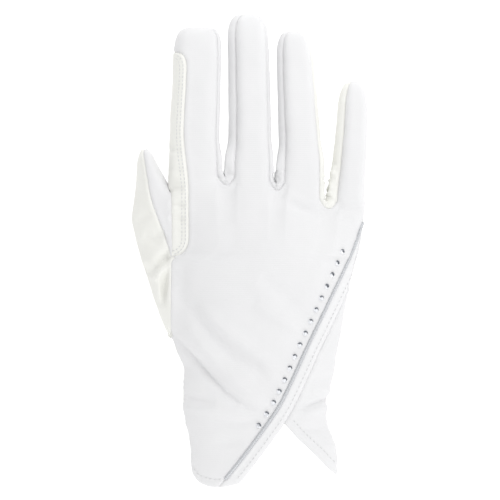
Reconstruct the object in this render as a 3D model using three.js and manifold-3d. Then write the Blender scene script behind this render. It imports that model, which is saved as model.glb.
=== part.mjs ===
// Right-hand riding glove, lying palm down. Millimetres, +Z up, fingers towards +Y, thumb towards -X.
import * as THREE from 'three';
import { mergeVertices } from 'three/addons/utils/BufferGeometryUtils.js';
import Module from 'manifold-3d';

const wasm = await Module();
wasm.setup();

// Driving sizes of the hand
const handLength = 142.8; // lowest hem point up to the fork of index and middle finger
const wristWidth = 69.2;
const wristShift = -6.4; // how far the wrist lies towards the thumb from the palm's middle
const palmThickness = 25;
const knuckleThickness = 21;
const wristThickness = 19;
const cuffThickness = 17;
const edgeHeight = 6.5; // height of the outline's edge above the ground

// Driving sizes of the fingers
const indexLength = 76.8;
const middleLength = 83.1;
const ringLength = 77.3;
const littleLength = 62.6;
const indexWidth = 24.1;
const middleWidth = 21.5;
const ringWidth = 22.2;
const littleWidth = 18.4;
const indexGap = 2.9; // between the index and the middle finger, at their base
const ringGap = 2.2;
const littleGap = 2.4;
const ringForkDrop = 2.4; // how much lower each fork lies than the one of index and middle finger
const littleForkDrop = 11.5;
const forkDepth = 5.6; // height of the round end of a fork's seam
const forkSeamHeight = 13.2; // height of that end above the ground
const fingerThickness = 14;
const littleThickness = 12.5;
const fingertipHeight = 4.4; // height of the seam across a fingertip
const fingertipRound = 15; // stretch over which a fingertip rounds off

// Driving sizes of the thumb
const thumbForkDrop = 2.9;
const thumbReach = 21.5; // fork up to the thumb's tip
const thumbBaseHeight = 70.7; // where the thumb's leather ends on the hand's edge
const thumbSpread = 19.6; // how far the thumb stands out from the hand
const thumbThickness = 15;
const thumbtipHeight = 5;

// Driving sizes of the leather strip, the piping, the vent and the stones
const stripWidth = 8.2; // on the hand
const stripFingerWidth = 5.2; // up the index finger
const stripTopDrop = 12; // index fingertip down to the strip's round top
const stripEndHeight = 109.4;
const pipingDiameter = 1.5;
const bandWidth = 5.4;
const ventHeight = 31; // hem up to the vent's point
const tailHeight = 5.7; // hem up to the tail's tip
const stoneDiameter = 2.5;
const stoneHeight = 1.2;
const stoneCount = 16;

// Walls and clearances
const fabricWall = 1.2;
const leatherWall = 1.3;
const seamGap = 0.32;

const fabricMaterial = new THREE.MeshStandardMaterial({ color: 0xeeeff2, roughness: 0.85, metalness: 0 });
const leatherMaterial = new THREE.MeshStandardMaterial({ color: 0xecece4, roughness: 0.55, metalness: 0 });
const bandMaterial = new THREE.MeshStandardMaterial({ color: 0xf2f3f4, roughness: 0.7, metalness: 0 });
const pipingMaterial = new THREE.MeshStandardMaterial({ color: 0xb4b7bb, roughness: 0.35, metalness: 0.7 });
const stoneMaterial = new THREE.MeshStandardMaterial({ color: 0xdfe6ee, roughness: 0.05, metalness: 0.1 });

const { lerp, clamp, smoothstep } = THREE.MathUtils;

// A smooth curve through a table's rows, read at one place along them.
function read(table, key, column, place) {
  const last = table.length - 1;
  if (place <= table[0][key]) return table[0][column];
  if (place >= table[last][key]) return table[last][column];
  const row = table.findIndex((entry) => entry[key] > place) - 1;
  const [before, from, to, after] = [row - 1, row, row + 1, row + 2].map(
    (index) => table[clamp(index, 0, last)]
  );
  const span = to[key] - from[key];
  const share = (place - from[key]) / span;
  const leave = ((to[column] - before[column]) / (to[key] - before[key])) * span;
  const arrive = ((after[column] - from[column]) / (after[key] - from[key])) * span;
  const square = share * share;
  const cube = square * share;
  return (
    (2 * cube - 3 * square + 1) * from[column] +
    (cube - 2 * square + share) * leave +
    (3 * square - 2 * cube) * to[column] +
    (cube - square) * arrive
  );
}

// The rounding of a dome: 1 at its foot, 0 at its end, square for a large power.
const dome = (share, power) => Math.pow(Math.max(0, 1 - Math.pow(clamp(share, 0, 1), power)), 1 / power);

// Fingers, from the thumb's side. Seams are shares of the finger's width, in from its outline.
const fingerRows = [
  { name: 'index', length: indexLength, width: indexWidth, gap: 0, drop: 0, lean: 0.025, bow: -0.035, taper: 0.92,
    square: 3.4, dorsalLeft: 0.05, dorsalRight: 0.04, thick: fingerThickness },
  { name: 'middle', length: middleLength, width: middleWidth, gap: indexGap, drop: 0, lean: -0.008, bow: 0.04,
    taper: 0.91, square: 2.8, dorsalLeft: 0.22, dorsalRight: 0.04, thick: fingerThickness },
  { name: 'ring', length: ringLength, width: ringWidth, gap: ringGap, drop: ringForkDrop, lean: -0.036, bow: 0.08,
    taper: 0.78, square: 2.6, dorsalLeft: 0.19, dorsalRight: 0.06, thick: fingerThickness },
  { name: 'little', length: littleLength, width: littleWidth, gap: littleGap, drop: littleForkDrop, lean: 0.035,
    bow: 0, taper: 0.78, square: 2.3, dorsalLeft: 0.28, dorsalRight: 0, thick: littleThickness },
];
const palmarSeam = 0.07; // the palm side's seams, in from a finger's outline
const dorsalSeamHeight = 0.64; // share of a finger's thickness
const palmarSeamHeight = 1.3;
const tipLineShare = 0.96; // where a fingertip's rounding is cut off by the seam across it
const tipRoundPower = 2.2; // how square a tip rounds off, seen from the side
const rootFullness = 0.62; // how far a finger's root thickens towards the knuckle
const littleCant = 0.55; // share of the little finger's narrowing that its inner side alone takes
const fingerFullness = { power: 2.3, root: 0.85 };
const fingerRimFrom = 0.55; // share of a finger's half width from where its underside bends up

// Places each finger beside the one before it.
let nextLeft = 0;
const fingers = fingerRows.map((row) => {
  const left = nextLeft + row.gap;
  nextLeft = left + row.width;
  const forkHeight = handLength - row.drop;
  return { ...row, left, baseX: left + row.width / 2, forkHeight, tipHeight: forkHeight + row.length };
});
const [index, , , little] = fingers;
const palmLeft = index.left + index.dorsalLeft * index.width;
const palmRight = little.left + little.width;
const palmWidth = palmRight - palmLeft;

function fingerShape(finger, height) {
  const along = (height - finger.forkHeight) / finger.length;
  const share = clamp(along, 0, 1);
  const nearTip = clamp(1 - (finger.tipHeight - height) / fingertipRound, 0, 1);
  const halfWidth =
    (finger.width / 2) * lerp(1, finger.taper, share) * dome(Math.min(nearTip, tipLineShare), finger.square);
  const narrowing = (finger.width / 2) * (1 - lerp(1, finger.taper, share));
  const bow = finger.bow * finger.width * Math.sin(Math.PI * share);
  const centre = finger.baseX + finger.lean * finger.length * smoothstep(share, 0, 0.75) + bow;
  const lean = finger === little ? narrowing * littleCant : 0;
  const round = dome(nearTip, tipRoundPower);
  const rootThick = lerp(finger.thick, knuckleThickness, rootFullness);
  const thick = lerp(rootThick, finger.thick, smoothstep(along, -0.1, 0.4));
  return {
    left: centre + lean - halfWidth,
    right: centre + lean + halfWidth,
    width: 2 * halfWidth,
    round,
    ridge: fingertipHeight + (thick - fingertipHeight) * round,
    dorsal: fingertipHeight + (dorsalSeamHeight * thick - fingertipHeight) * round,
    palmar: fingertipHeight + (palmarSeamHeight - fingertipHeight) * round,
    under: fingertipHeight * (1 - round),
    edge: fingertipHeight + (edgeHeight * 0.8 - fingertipHeight) * round * (1 - share * 0.5),
  };
}

// Outline of the hand: shares of handLength up, and 0 at the palm's edge to 1 at the wrist's.
const handOutline = [
  { up: 0, radial: 2.0, ulnar: 0.7 },
  { up: 0.07, radial: 1.64, ulnar: 0.7 },
  { up: 0.12, radial: 1.58, ulnar: 0.71 },
  { up: 0.171, radial: 1.42, ulnar: 0.83 },
  { up: 0.221, radial: 1.1, ulnar: 0.97 },
  { up: 0.284, radial: 0.92, ulnar: 1.0 },
  { up: 0.338, radial: 0.92, ulnar: 0.87 },
  { up: 0.395, radial: 1.0, ulnar: 0.77 },
  { up: 0.448, radial: 0.33, ulnar: 0.72 },
  { up: 0.505, radial: -0.05, ulnar: 0.63 },
  { up: 0.622, radial: -0.09, ulnar: 0.45 },
  { up: 0.689, radial: -0.03, ulnar: 0.34 },
  { up: 0.766, radial: 0, ulnar: 0.17 },
  { up: 0.856, radial: 0, ulnar: 0.03 },
  { up: 0.957, radial: 0, ulnar: -0.03 },
];
const handHeights = [
  { up: 0, thick: cuffThickness },
  { up: 0.38, thick: wristThickness },
  { up: 0.72, thick: palmThickness },
  { up: 1, thick: knuckleThickness },
];
const wristCentre = (palmLeft + palmRight) / 2 + wristShift;

function handLeft(height) {
  return lerp(palmLeft, wristCentre - wristWidth / 2, read(handOutline, 'up', 'radial', height / handLength));
}

function handRight(height) {
  return lerp(palmRight, wristCentre + wristWidth / 2, read(handOutline, 'up', 'ulnar', height / handLength));
}

// Folds of the cloth on the back of the hand, as shares of the hand's width across and its length up.
// A negative rise is a valley. Rise and reach, the fold's half width, are shares of palmThickness.
const folds = [
  { fromAcross: 0.0, fromUp: 0.5, toAcross: 0.57, toUp: 0.27, reach: 0.2, rise: -0.06 },
  { fromAcross: 0.06, fromUp: 0.4, toAcross: 0.45, toUp: 0.21, reach: 0.2, rise: 0.036 },
  { fromAcross: 0.05, fromUp: 0.63, toAcross: 0.52, toUp: 0.36, reach: 0.22, rise: -0.044 },
  { fromAcross: 0.5, fromUp: 0.66, toAcross: 0.68, toUp: 0.52, reach: 0.3, rise: -0.032 },
  { fromAcross: 0.6, fromUp: 0.92, toAcross: 0.95, toUp: 0.86, reach: 0.2, rise: -0.036 },
  { fromAcross: 0.78, fromUp: 0.27, toAcross: 0.99, toUp: 0.3, reach: 0.14, rise: 0.04 },
];

const foldEnd = 0.12; // share of a fold's length that runs out at each end

function foldRise(across, up) {
  let rise = 0;
  for (const fold of folds) {
    const runX = (fold.toAcross - fold.fromAcross) * palmWidth;
    const runY = (fold.toUp - fold.fromUp) * handLength;
    const length = Math.hypot(runX, runY);
    const fromX = (across - fold.fromAcross) * palmWidth;
    const fromY = (up - fold.fromUp) * handLength;
    const along = clamp((fromX * runX + fromY * runY) / length, 0, length);
    const away = Math.hypot(fromX - (along * runX) / length, fromY - (along * runY) / length);
    const fade = Math.sin(Math.PI * clamp(along / length, foldEnd, 1 - foldEnd));
    rise += fold.rise * palmThickness * fade * Math.exp(-Math.pow(away / (fold.reach * palmThickness), 2));
  }
  return rise;
}

// Thumb: shares of the way from its base up to its tip, and shares of thumbSpread out from the hand.
const thumbOutline = [
  { up: 0, outer: 0, seam: 0, inner: 0 },
  { up: 0.042, outer: 0.11, seam: 0, inner: 0 },
  { up: 0.147, outer: 0.32, seam: 0, inner: 0 },
  { up: 0.253, outer: 0.5, seam: 0, inner: 0 },
  { up: 0.358, outer: 0.67, seam: 0, inner: 0 },
  { up: 0.426, outer: 0.79, seam: 0, inner: 0 },
  { up: 0.568, outer: 0.95, seam: 0.21, inner: 0 },
  { up: 0.632, outer: 1.0, seam: 0.33, inner: 0 },
  { up: 0.7, outer: 0.96, seam: 0.45, inner: 0 },
  { up: 0.763, outer: 0.92, seam: 0.54, inner: 0 },
  { up: 0.831, outer: 0.88, seam: 0.59, inner: 0.15 },
  { up: 0.895, outer: 0.86, seam: 0.64, inner: 0.3 },
  { up: 0.947, outer: 0.83, seam: 0.68, inner: 0.42 },
  { up: 0.98, outer: 0.78, seam: 0.7, inner: 0.52 },
  { up: 1, outer: 0.72, seam: 0.68, inner: 0.62 },
];
const thumbForkHeight = handLength - thumbForkDrop;
const thumbTip = thumbForkHeight + thumbReach;
const thumbPalmarSeam = 0.12;
const thumbSeamHeight = 0.75; // where the thumb joins the hand's back, as a share of thumbThickness
const palmarRise = 0.8; // how high the palm side's seam lies along the thumb
const thumbFullness = { power: 2.2, root: 0.8 };
const thumbTurnFrom = 0.5; // share of the thumb's half width from where its underside bends up
const thumbRound = 0.7; // share of thumbReach over which the thumb's tip rounds off
const thumbCrown = 0.55; // how far the thumb's back arches above its seams, as a share of its thickness
const thumbBaseCrown = 0.19;
const thumbRiseEnd = 0.55; // share of the way up to the fork where the thumb's join is fully raised
const palmarRiseEnd = 0.35;

function thumbShape(height) {
  const up = (height - thumbBaseHeight) / (thumbTip - thumbBaseHeight);
  const hand = handLeft(Math.min(height, thumbForkHeight));
  const nearTip = clamp(1 - (thumbTip - height) / (thumbRound * thumbReach), 0, 1);
  const round = dome(nearTip, tipRoundPower);
  const rest = smoothstep(up, 0, palmarRiseEnd);
  const outer = hand - thumbSpread * read(thumbOutline, 'up', 'outer', up);
  const inner = hand - thumbSpread * read(thumbOutline, 'up', 'inner', up);
  const seamOut = height <= stripEndHeight + 0.001 ? 0 : Math.max(0, read(thumbOutline, 'up', 'seam', up));
  const seam = hand - thumbSpread * seamOut;
  return {
    outer,
    inner,
    seam,
    round,
    edge: thumbtipHeight + (edgeHeight * 0.85 - thumbtipHeight) * round,
    crown: (thumbThickness - thumbtipHeight) * round * lerp(thumbBaseCrown, thumbCrown, rest),
    palmar: lerp(edgeHeight, palmarRise, rest) * round + thumbtipHeight * (1 - round),
    under: thumbtipHeight * (1 - round),
    dorsal: thumbtipHeight + (thumbSeamHeight * thumbThickness - thumbtipHeight) * round,
  };
}

// Height of the hand's back along the thumb's join, and of its palm side there.
function joinHeight(height) {
  const rest = smoothstep(height, thumbBaseHeight, lerp(thumbBaseHeight, thumbForkHeight, thumbRiseEnd));
  return lerp(edgeHeight, thumbSeamHeight * thumbThickness, rest);
}

function joinUnder(height) {
  const rest = smoothstep(height, thumbBaseHeight, lerp(thumbBaseHeight, thumbForkHeight, palmarRiseEnd));
  return lerp(edgeHeight, palmarRise, rest);
}

// Cells of the outer skin, each with the name of the panel that it belongs to.
const corners = [];
const cornerOf = new Map();
const faces = [];

function corner(point) {
  const key = point.toArray().map((value) => Math.round(value * 2000)).join(' ');
  if (!cornerOf.has(key)) {
    cornerOf.set(key, corners.length);
    corners.push(point);
  }
  return cornerOf.get(key);
}

function addFace(a, b, c, panel) {
  if (a !== b && b !== c && c !== a) faces.push({ a, b, c, panel });
}

// A grid of points, rows upwards and columns to the right, seen from outside the glove. Its top corners
// are cut towards the corner, because at a fingertip the back and the palm side share both edges there.
function addGrid(rows, panelOf) {
  for (let row = 0; row < rows.length - 1; row++) {
    for (let column = 0; column < rows[row].length - 1; column++) {
      const a = corner(rows[row][column]);
      const b = corner(rows[row][column + 1]);
      const c = corner(rows[row + 1][column + 1]);
      const d = corner(rows[row + 1][column]);
      const panel = panelOf(row, column);
      let rising = corners[a].distanceTo(corners[c]) <= corners[b].distanceTo(corners[d]);
      if (row === rows.length - 2 && column === 0) rising = false;
      if (row === rows.length - 2 && column === rows[row].length - 2) rising = true;
      if (rising) {
        addFace(a, b, c, panel);
        addFace(a, c, d, panel);
      } else {
        addFace(a, b, d, panel);
        addFace(b, c, d, panel);
      }
    }
  }
}

const mirrored = (rows) => rows.map((row) => [...row].reverse());

// Steps from 0 to 1, each stretch between two stops cut into its own count.
function steps(stops, counts) {
  const list = [stops[0]];
  counts.forEach((count, stretch) => {
    for (let step = 1; step <= count; step++) list.push(lerp(stops[stretch], stops[stretch + 1], step / count));
  });
  return list;
}

// Columns of the back: the strip, then each finger with the fork's round end after it.
const stripColumns = 2;
const stripTaperEnd = 0.4; // share of the index finger over which the strip narrows
const forkColumns = 4;
const fingerColumns = { index: 4, middle: 5, ring: 5, little: 5 };

function rowHeights(finger) {
  const roundFrom = 1 - fingertipRound / finger.length;
  if (finger !== index) return steps([0, roundFrom, 0.93, 1], [4, 3, 2]);
  const top = 1 - stripTopDrop / finger.length;
  return steps([0, top - 0.06, top, 0.94, 1], [4, 2, 1, 2]);
}

// The strip's width narrows to nothing over its round top and its round lower end.
const stripTopRound = 0.1; // share of the index finger's length
const stripEndRound = 1.1; // share of stripWidth

function stripOnFinger(along) {
  const top = 1 - stripTopDrop / index.length;
  return along >= top ? 0 : dome((along - (top - stripTopRound)) / stripTopRound, 2);
}

function stripOnHand(height) {
  const round = stripWidth * stripEndRound;
  return height <= stripEndHeight ? 0 : dome(1 - (height - stripEndHeight) / round, 2);
}

// Left and right ends of a finger's lowest row.
function rootHeight(finger, side) {
  if (side === 'left') {
    return finger === index ? thumbForkHeight : finger.forkHeight + forkDepth;
  }
  const next = fingers[fingers.indexOf(finger) + 1];
  return next ? next.forkHeight + forkDepth : finger.forkHeight + forkDepth;
}

function fingerGrid(finger, underside) {
  const strip = finger === index && !underside;
  const columns = fingerColumns[finger.name] + (finger === index ? stripColumns : 0);
  return rowHeights(finger).map((along) => {
    const sides = {};
    for (const side of ['left', 'right']) {
      const height = lerp(rootHeight(finger, side), finger.tipHeight, along);
      sides[side] = { height, ...fingerShape(finger, height) };
    }
    const outerEdge = finger === little;
    const atTip = along >= 1;
    const onPalm = underside && !atTip;
    const leftIn = onPalm ? palmarSeam : finger.dorsalLeft;
    const rightIn = onPalm && !outerEdge ? palmarSeam : finger.dorsalRight;
    const leftX = sides.left.left + leftIn * sides.left.width;
    const rightX = sides.right.right - rightIn * sides.right.width;
    const stripWide = lerp(stripWidth, stripFingerWidth, smoothstep(along, 0, stripTaperEnd));
    const stripShare = (stripOnFinger(along) * stripWide) / (rightX - leftX);
    const row = [];
    for (let column = 0; column <= columns; column++) {
      let share = column / columns;
      if (strip) {
        share =
          column <= stripColumns
            ? (stripShare * column) / stripColumns
            : lerp(stripShare, 1, (column - stripColumns) / (columns - stripColumns));
      }
      if (finger === index && atTip) {
        share = column <= stripColumns ? 0 : (column - stripColumns) / (columns - stripColumns);
      }
      const height = lerp(sides.left.height, sides.right.height, share);
      const shape = fingerShape(finger, height);
      const x = lerp(leftX, rightX, share);
      const bow = Math.abs(2 * share - 1);
      let z;
      if (underside) {
        const leftZ = sides.left.palmar;
        const rightZ = outerEdge ? sides.right.edge : sides.right.palmar;
        const rim = smoothstep(bow, fingerRimFrom, 1);
        z = shape.under + (lerp(leftZ, rightZ, share) - shape.under) * rim * rim;
      } else {
        const leftZ = sides.left.dorsal;
        const rightZ = outerEdge ? sides.right.edge : sides.right.dorsal;
        const seams = lerp(leftZ, rightZ, share);
        const full = Math.pow(1 - Math.pow(bow, fingerFullness.power), fingerFullness.root);
        z = seams + (shape.ridge - seams) * full;
      }
      if (atTip) z = fingertipHeight;
      row.push(new THREE.Vector3(x, height, z));
    }
    return row;
  });
}

// The round lower end of a fork's seam, between two fingers' lowest rows.
function forkPoints(leftEnd, rightEnd, bottomHeight, bottomZ) {
  const points = [];
  for (let step = 1; step < forkColumns; step++) {
    const turn = (Math.PI * step) / forkColumns;
    const share = (1 - Math.cos(turn)) / 2;
    const rim = leftEnd.clone().lerp(rightEnd, share);
    const dip = Math.sin(turn);
    points.push(new THREE.Vector3(rim.x, lerp(rim.y, bottomHeight, dip), lerp(rim.z, bottomZ, dip)));
  }
  return points;
}

const fingerBacks = fingers.map((finger) => fingerGrid(finger, false));
const fingerUnders = fingers.map((finger) => fingerGrid(finger, true));

function rootRow(grids, forkZ) {
  const row = [];
  fingers.forEach((finger, place) => {
    if (place > 0) {
      const leftEnd = row[row.length - 1];
      row.push(...forkPoints(leftEnd, grids[place][0][0], finger.forkHeight, forkZ(finger)));
    }
    row.push(...grids[place][0]);
  });
  return row;
}

const backRoots = rootRow(fingerBacks, () => forkSeamHeight);
const underRoots = rootRow(fingerUnders, () => palmarSeamHeight);

// Rows of the hand, from the fingers' roots down past the hem.
const belowHem = -3;
const knuckleReach = 15; // how far below the forks the knuckles fade into the hand
const handStops = { strip: stripEndHeight, thumb: thumbBaseHeight, hem: belowHem };
const handRowCounts = { strip: 5, thumb: 5, hem: 7 };

const evenShare = 0.5; // how far the columns even out below the strip's end

function handGrid(roots, underside) {
  const rootLeft = roots[0].x;
  const rootSpan = roots[roots.length - 1].x - rootLeft;
  const spread = roots.map((root) => (root.x - rootLeft) / rootSpan);
  const first = spread[stripColumns];
  const rows = [roots];
  let from = null;
  for (const [stop, height] of Object.entries(handStops)) {
    for (let step = 1; step <= handRowCounts[stop]; step++) {
      const row = roots.map((root, column) => {
        const y = lerp(from === null ? root.y : from, height, step / handRowCounts[stop]);
        const stripPart = (stripOnHand(y) * stripWidth) / (handRight(y) - handLeft(y));
        if (column <= stripColumns) return handPoint(y, (stripPart * column) / stripColumns, root, underside);
        const even = (column - stripColumns) / (roots.length - 1 - stripColumns);
        const place = stop === 'strip' ? spread[column] : lerp(spread[column], even, evenShare);
        const across = stripPart + ((place - first) / (1 - first)) * (1 - stripPart);
        return handPoint(y, clamp(across, 0, 1), root, underside);
      });
      rows.push(row);
    }
    from = height;
  }
  return rows;
}

// The hand's rim: shares of its width from where the palm side bends up, and how full its back is.
const rimFrom = 0.87;
const thumbRimFrom = 0.9;
const backFullness = { power: 2.4, root: 0.7 };

function handPoint(height, across, root, underside) {
  const left = handLeft(height);
  const right = handRight(height);
  const up = height / handLength;
  const bow = Math.abs(2 * across - 1);
  const joined = height > thumbBaseHeight;
  const fade = smoothstep(root.y - height, 0, knuckleReach);
  let z;
  if (underside) {
    const leftZ = joined ? joinUnder(height) : edgeHeight;
    const leftRim = smoothstep(1 - across, joined ? thumbRimFrom : rimFrom, 1);
    const rightRim = smoothstep(across, rimFrom, 1);
    z = leftZ * leftRim * leftRim + edgeHeight * rightRim * rightRim;
  } else {
    const leftZ = joined ? joinHeight(height) : edgeHeight;
    const edges = lerp(leftZ, edgeHeight, across);
    const thick = read(handHeights, 'up', 'thick', up);
    z = edges + (thick - edges) * Math.pow(1 - Math.pow(bow, backFullness.power), backFullness.root);
    z += foldRise(across, up) * (1 - Math.pow(bow, 4));
  }
  return new THREE.Vector3(lerp(left, right, across), height, lerp(root.z, z, fade));
}

const handBack = handGrid(backRoots, false);
const handUnder = handGrid(underRoots, true);
// The outline's edge is one line that the back and the palm side share.
handUnder.forEach((row, rowIndex) => {
  const backRow = handBack[rowIndex];
  row[row.length - 1] = backRow[backRow.length - 1];
  if (rowIndex >= handRowCounts.strip + handRowCounts.thumb) row[0] = backRow[0];
});
fingerUnders.forEach((grid, place) => {
  grid[grid.length - 1] = fingerBacks[place][grid.length - 1];
  if (fingers[place] === little) {
    grid.forEach((row, rowIndex) => {
      const backRow = fingerBacks[place][rowIndex];
      row[row.length - 1] = backRow[backRow.length - 1];
    });
  }
});
handUnder[0] = rootRow(fingerUnders, () => palmarSeamHeight);

handBack.reverse();
handUnder.reverse();
addGrid(handBack, (row, column) => (column < stripColumns ? 'index_strip' : 'back_panel'));
addGrid(mirrored(handUnder), () => 'palm_panel');
fingers.forEach((finger, place) => {
  addGrid(fingerBacks[place], (row, column) =>
    finger === index && column < stripColumns ? 'index_strip' : 'back_panel'
  );
  addGrid(mirrored(fingerUnders[place]), () => 'palm_panel');
});

// Thumb: rows from its base up to the fork follow the hand's, and then its own up to the tip.
const thumbLeatherColumns = 3;
const thumbFabricColumns = 3;
const thumbTipRows = 6;
const thumbTipCrowding = 1.35; // how much closer the rows lie towards the thumb's tip
const joinRows = handBack.slice(handRowCounts.hem);
const thumbRows = joinRows.map((row, place) => {
  const back = row[0];
  return { height: back.y, back, under: handUnder[place + handRowCounts.hem][0] };
});
const thumbDorsalSeam = 0.06; // the seams' shares of the thumb's width, in from its outline
for (let step = 1; step <= thumbTipRows; step++) {
  const height = lerp(thumbForkHeight, thumbTip, 1 - Math.pow(1 - step / thumbTipRows, thumbTipCrowding));
  const shape = thumbShape(height);
  const tip = step === thumbTipRows;
  const inner = lerp(shape.inner, shape.outer, tip ? 0 : thumbDorsalSeam);
  const under = lerp(shape.inner, shape.outer, tip ? 0 : thumbPalmarSeam);
  thumbRows.push({
    height,
    back: new THREE.Vector3(inner, height, shape.dorsal),
    under: new THREE.Vector3(tip ? inner : under, height, shape.palmar),
  });
}

function thumbRow({ height, back, under }, underside) {
  const shape = thumbShape(height);
  const inner = underside ? under : back;
  const outer = new THREE.Vector3(Math.min(shape.outer, inner.x), height, shape.edge);
  const base = height <= thumbBaseHeight + 0.001;
  if (base) outer.copy(inner);
  const seamShare = clamp((shape.seam - outer.x) / Math.max(inner.x - outer.x, 0.001), 0, 1);
  const columns = thumbLeatherColumns + thumbFabricColumns;
  const tip = height >= thumbTip - 0.001;
  const row = [];
  for (let column = 0; column <= columns; column++) {
    const onLeather = column <= thumbLeatherColumns;
    const share = onLeather
      ? (seamShare * column) / thumbLeatherColumns
      : lerp(seamShare, 1, (column - thumbLeatherColumns) / thumbFabricColumns);
    const bow = Math.abs(2 * share - 1);
    const point = outer.clone().lerp(inner, share);
    if (underside) {
      const rim = smoothstep(bow, thumbTurnFrom, 1);
      point.z = lerp(shape.under, point.z, rim * rim);
    } else {
      const full = Math.pow(1 - Math.pow(bow, thumbFullness.power), thumbFullness.root);
      point.z += shape.crown * full * (base ? 0 : 1);
    }
    if (tip) point.z = thumbtipHeight;
    row.push(base ? inner.clone() : point);
  }
  return row;
}

const thumbBack = thumbRows.map((row) => thumbRow(row, false));
const thumbUnder = thumbRows.map((row) => thumbRow(row, true));
thumbUnder.forEach((row, rowIndex) => {
  row[0] = thumbBack[rowIndex][0];
});
thumbUnder[thumbUnder.length - 1] = thumbBack[thumbBack.length - 1];
addGrid(thumbBack, (row, column) => (column < thumbLeatherColumns ? 'thumb_leather' : 'thumb_fabric'));
addGrid(mirrored(thumbUnder), () => 'thumb_leather');

// Strips between the fingers: from the left finger's tip down round the fork and up the right finger.
const stripSteps = 4;
const forkBulge = 0.25; // how far a strip bulges into the gap at the fork itself

function sidePoints(grid, side) {
  return grid.map((row) => (side === 'left' ? row[0] : row[row.length - 1])).reverse();
}

function wallBetween(dorsal, palmar, outline, name) {
  const path = dorsal.map((top, step) => {
    const bottom = palmar[step];
    const before = dorsal[Math.max(step - 1, 0)];
    const after = dorsal[Math.min(step + 1, dorsal.length - 1)];
    const run = after.clone().sub(before).setZ(0).normalize();
    const out = new THREE.Vector3(-run.y, run.x, 0);
    const points = [];
    for (let part = 0; part <= stripSteps; part++) {
      const share = part / stripSteps;
      const point = top.clone().lerp(bottom, share);
      point.addScaledVector(out, outline[step] * Math.sin(Math.PI * share));
      points.push(point);
    }
    return points;
  });
  const cells = path[0].map((_, part) => path.map((points) => points[part]));
  addGrid(cells, name);
}

// How far a strip swells past its seams: up to the finger's outline, and towards the next finger near
// the fork, where the two fingers' strips all but touch.
const forkSwell = 0.6; // share of the gap between the fingers
const forkSwellReach = 0.35; // share of the finger's length

function swell(finger, side, top, bottom, gap) {
  const shape = fingerShape(finger, top.y);
  const middleX = (top.x + bottom.x) / 2;
  const reach = side === 'left' ? middleX - shape.left : shape.right - middleX;
  const along = (top.y - finger.forkHeight) / finger.length;
  const extra = gap * forkSwell * (1 - smoothstep(along, forkSwellReach * 0.4, forkSwellReach));
  return Math.max(0, reach + extra) * smoothstep(finger.tipHeight - top.y, 0, 2);
}

fingers.slice(1).forEach((finger, place) => {
  const before = fingers[place];
  const leftTop = sidePoints(fingerBacks[place], 'right');
  const leftUnder = sidePoints(fingerUnders[place], 'right');
  const rightTop = sidePoints(fingerBacks[place + 1], 'left').reverse();
  const rightUnder = sidePoints(fingerUnders[place + 1], 'left').reverse();
  const forkTop = forkPoints(leftTop[leftTop.length - 1], rightTop[0], finger.forkHeight, forkSeamHeight);
  const forkUnder = forkPoints(leftUnder[leftUnder.length - 1], rightUnder[0], finger.forkHeight, palmarSeamHeight);
  const dorsal = [...leftTop, ...forkTop, ...rightTop];
  const palmar = [...leftUnder, ...forkUnder, ...rightUnder];
  const outline = dorsal.map((top, step) => {
    if (step < leftTop.length) return swell(before, 'right', top, palmar[step], finger.gap);
    if (step < leftTop.length + forkTop.length) return forkBulge;
    return swell(finger, 'left', top, palmar[step], 0);
  });
  wallBetween(dorsal, palmar, outline, () => `fourchette_${before.name}_${finger.name}`);
});

// Between thumb and index finger the left wall is the thumb's fabric and the right one the strip.
{
  const thumbTop = sidePoints(thumbBack.slice(joinRows.length - 1), 'right');
  const thumbLow = sidePoints(thumbUnder.slice(joinRows.length - 1), 'right');
  const indexTop = sidePoints(fingerBacks[0], 'left').reverse().slice(1);
  const indexLow = sidePoints(fingerUnders[0], 'left').reverse().slice(1);
  const dorsal = [...thumbTop, ...indexTop];
  const palmar = [...thumbLow, ...indexLow];
  const fork = thumbTop.length - 1;
  const outline = dorsal.map((top, step) => {
    if (step === fork) return 0;
    if (step > fork) return swell(index, 'left', top, palmar[step], 0);
    const shape = thumbShape(top.y);
    return Math.max(0, shape.inner - (top.x + palmar[step].x) / 2) * smoothstep(thumbTip - top.y, 0, 2);
  });
  const stripTop = rowHeights(index).findIndex((along) => stripOnFinger(along) === 0);
  wallBetween(dorsal, palmar, outline, (row, column) => {
    if (column < fork) return 'thumb_fabric';
    return column - fork < stripTop ? 'index_strip' : 'back_panel';
  });
}

// Outward direction at each corner of the skin, from all the faces round it.
const outward = corners.map(() => new THREE.Vector3());
for (const { a, b, c } of faces) {
  const across = corners[b].clone().sub(corners[a]).cross(corners[c].clone().sub(corners[a]));
  for (const id of [a, b, c]) outward[id].add(across);
}
for (const direction of outward) direction.normalize();

const leastMitre = 0.25; // a sharp corner of a panel is drawn back no further than this allows

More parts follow.
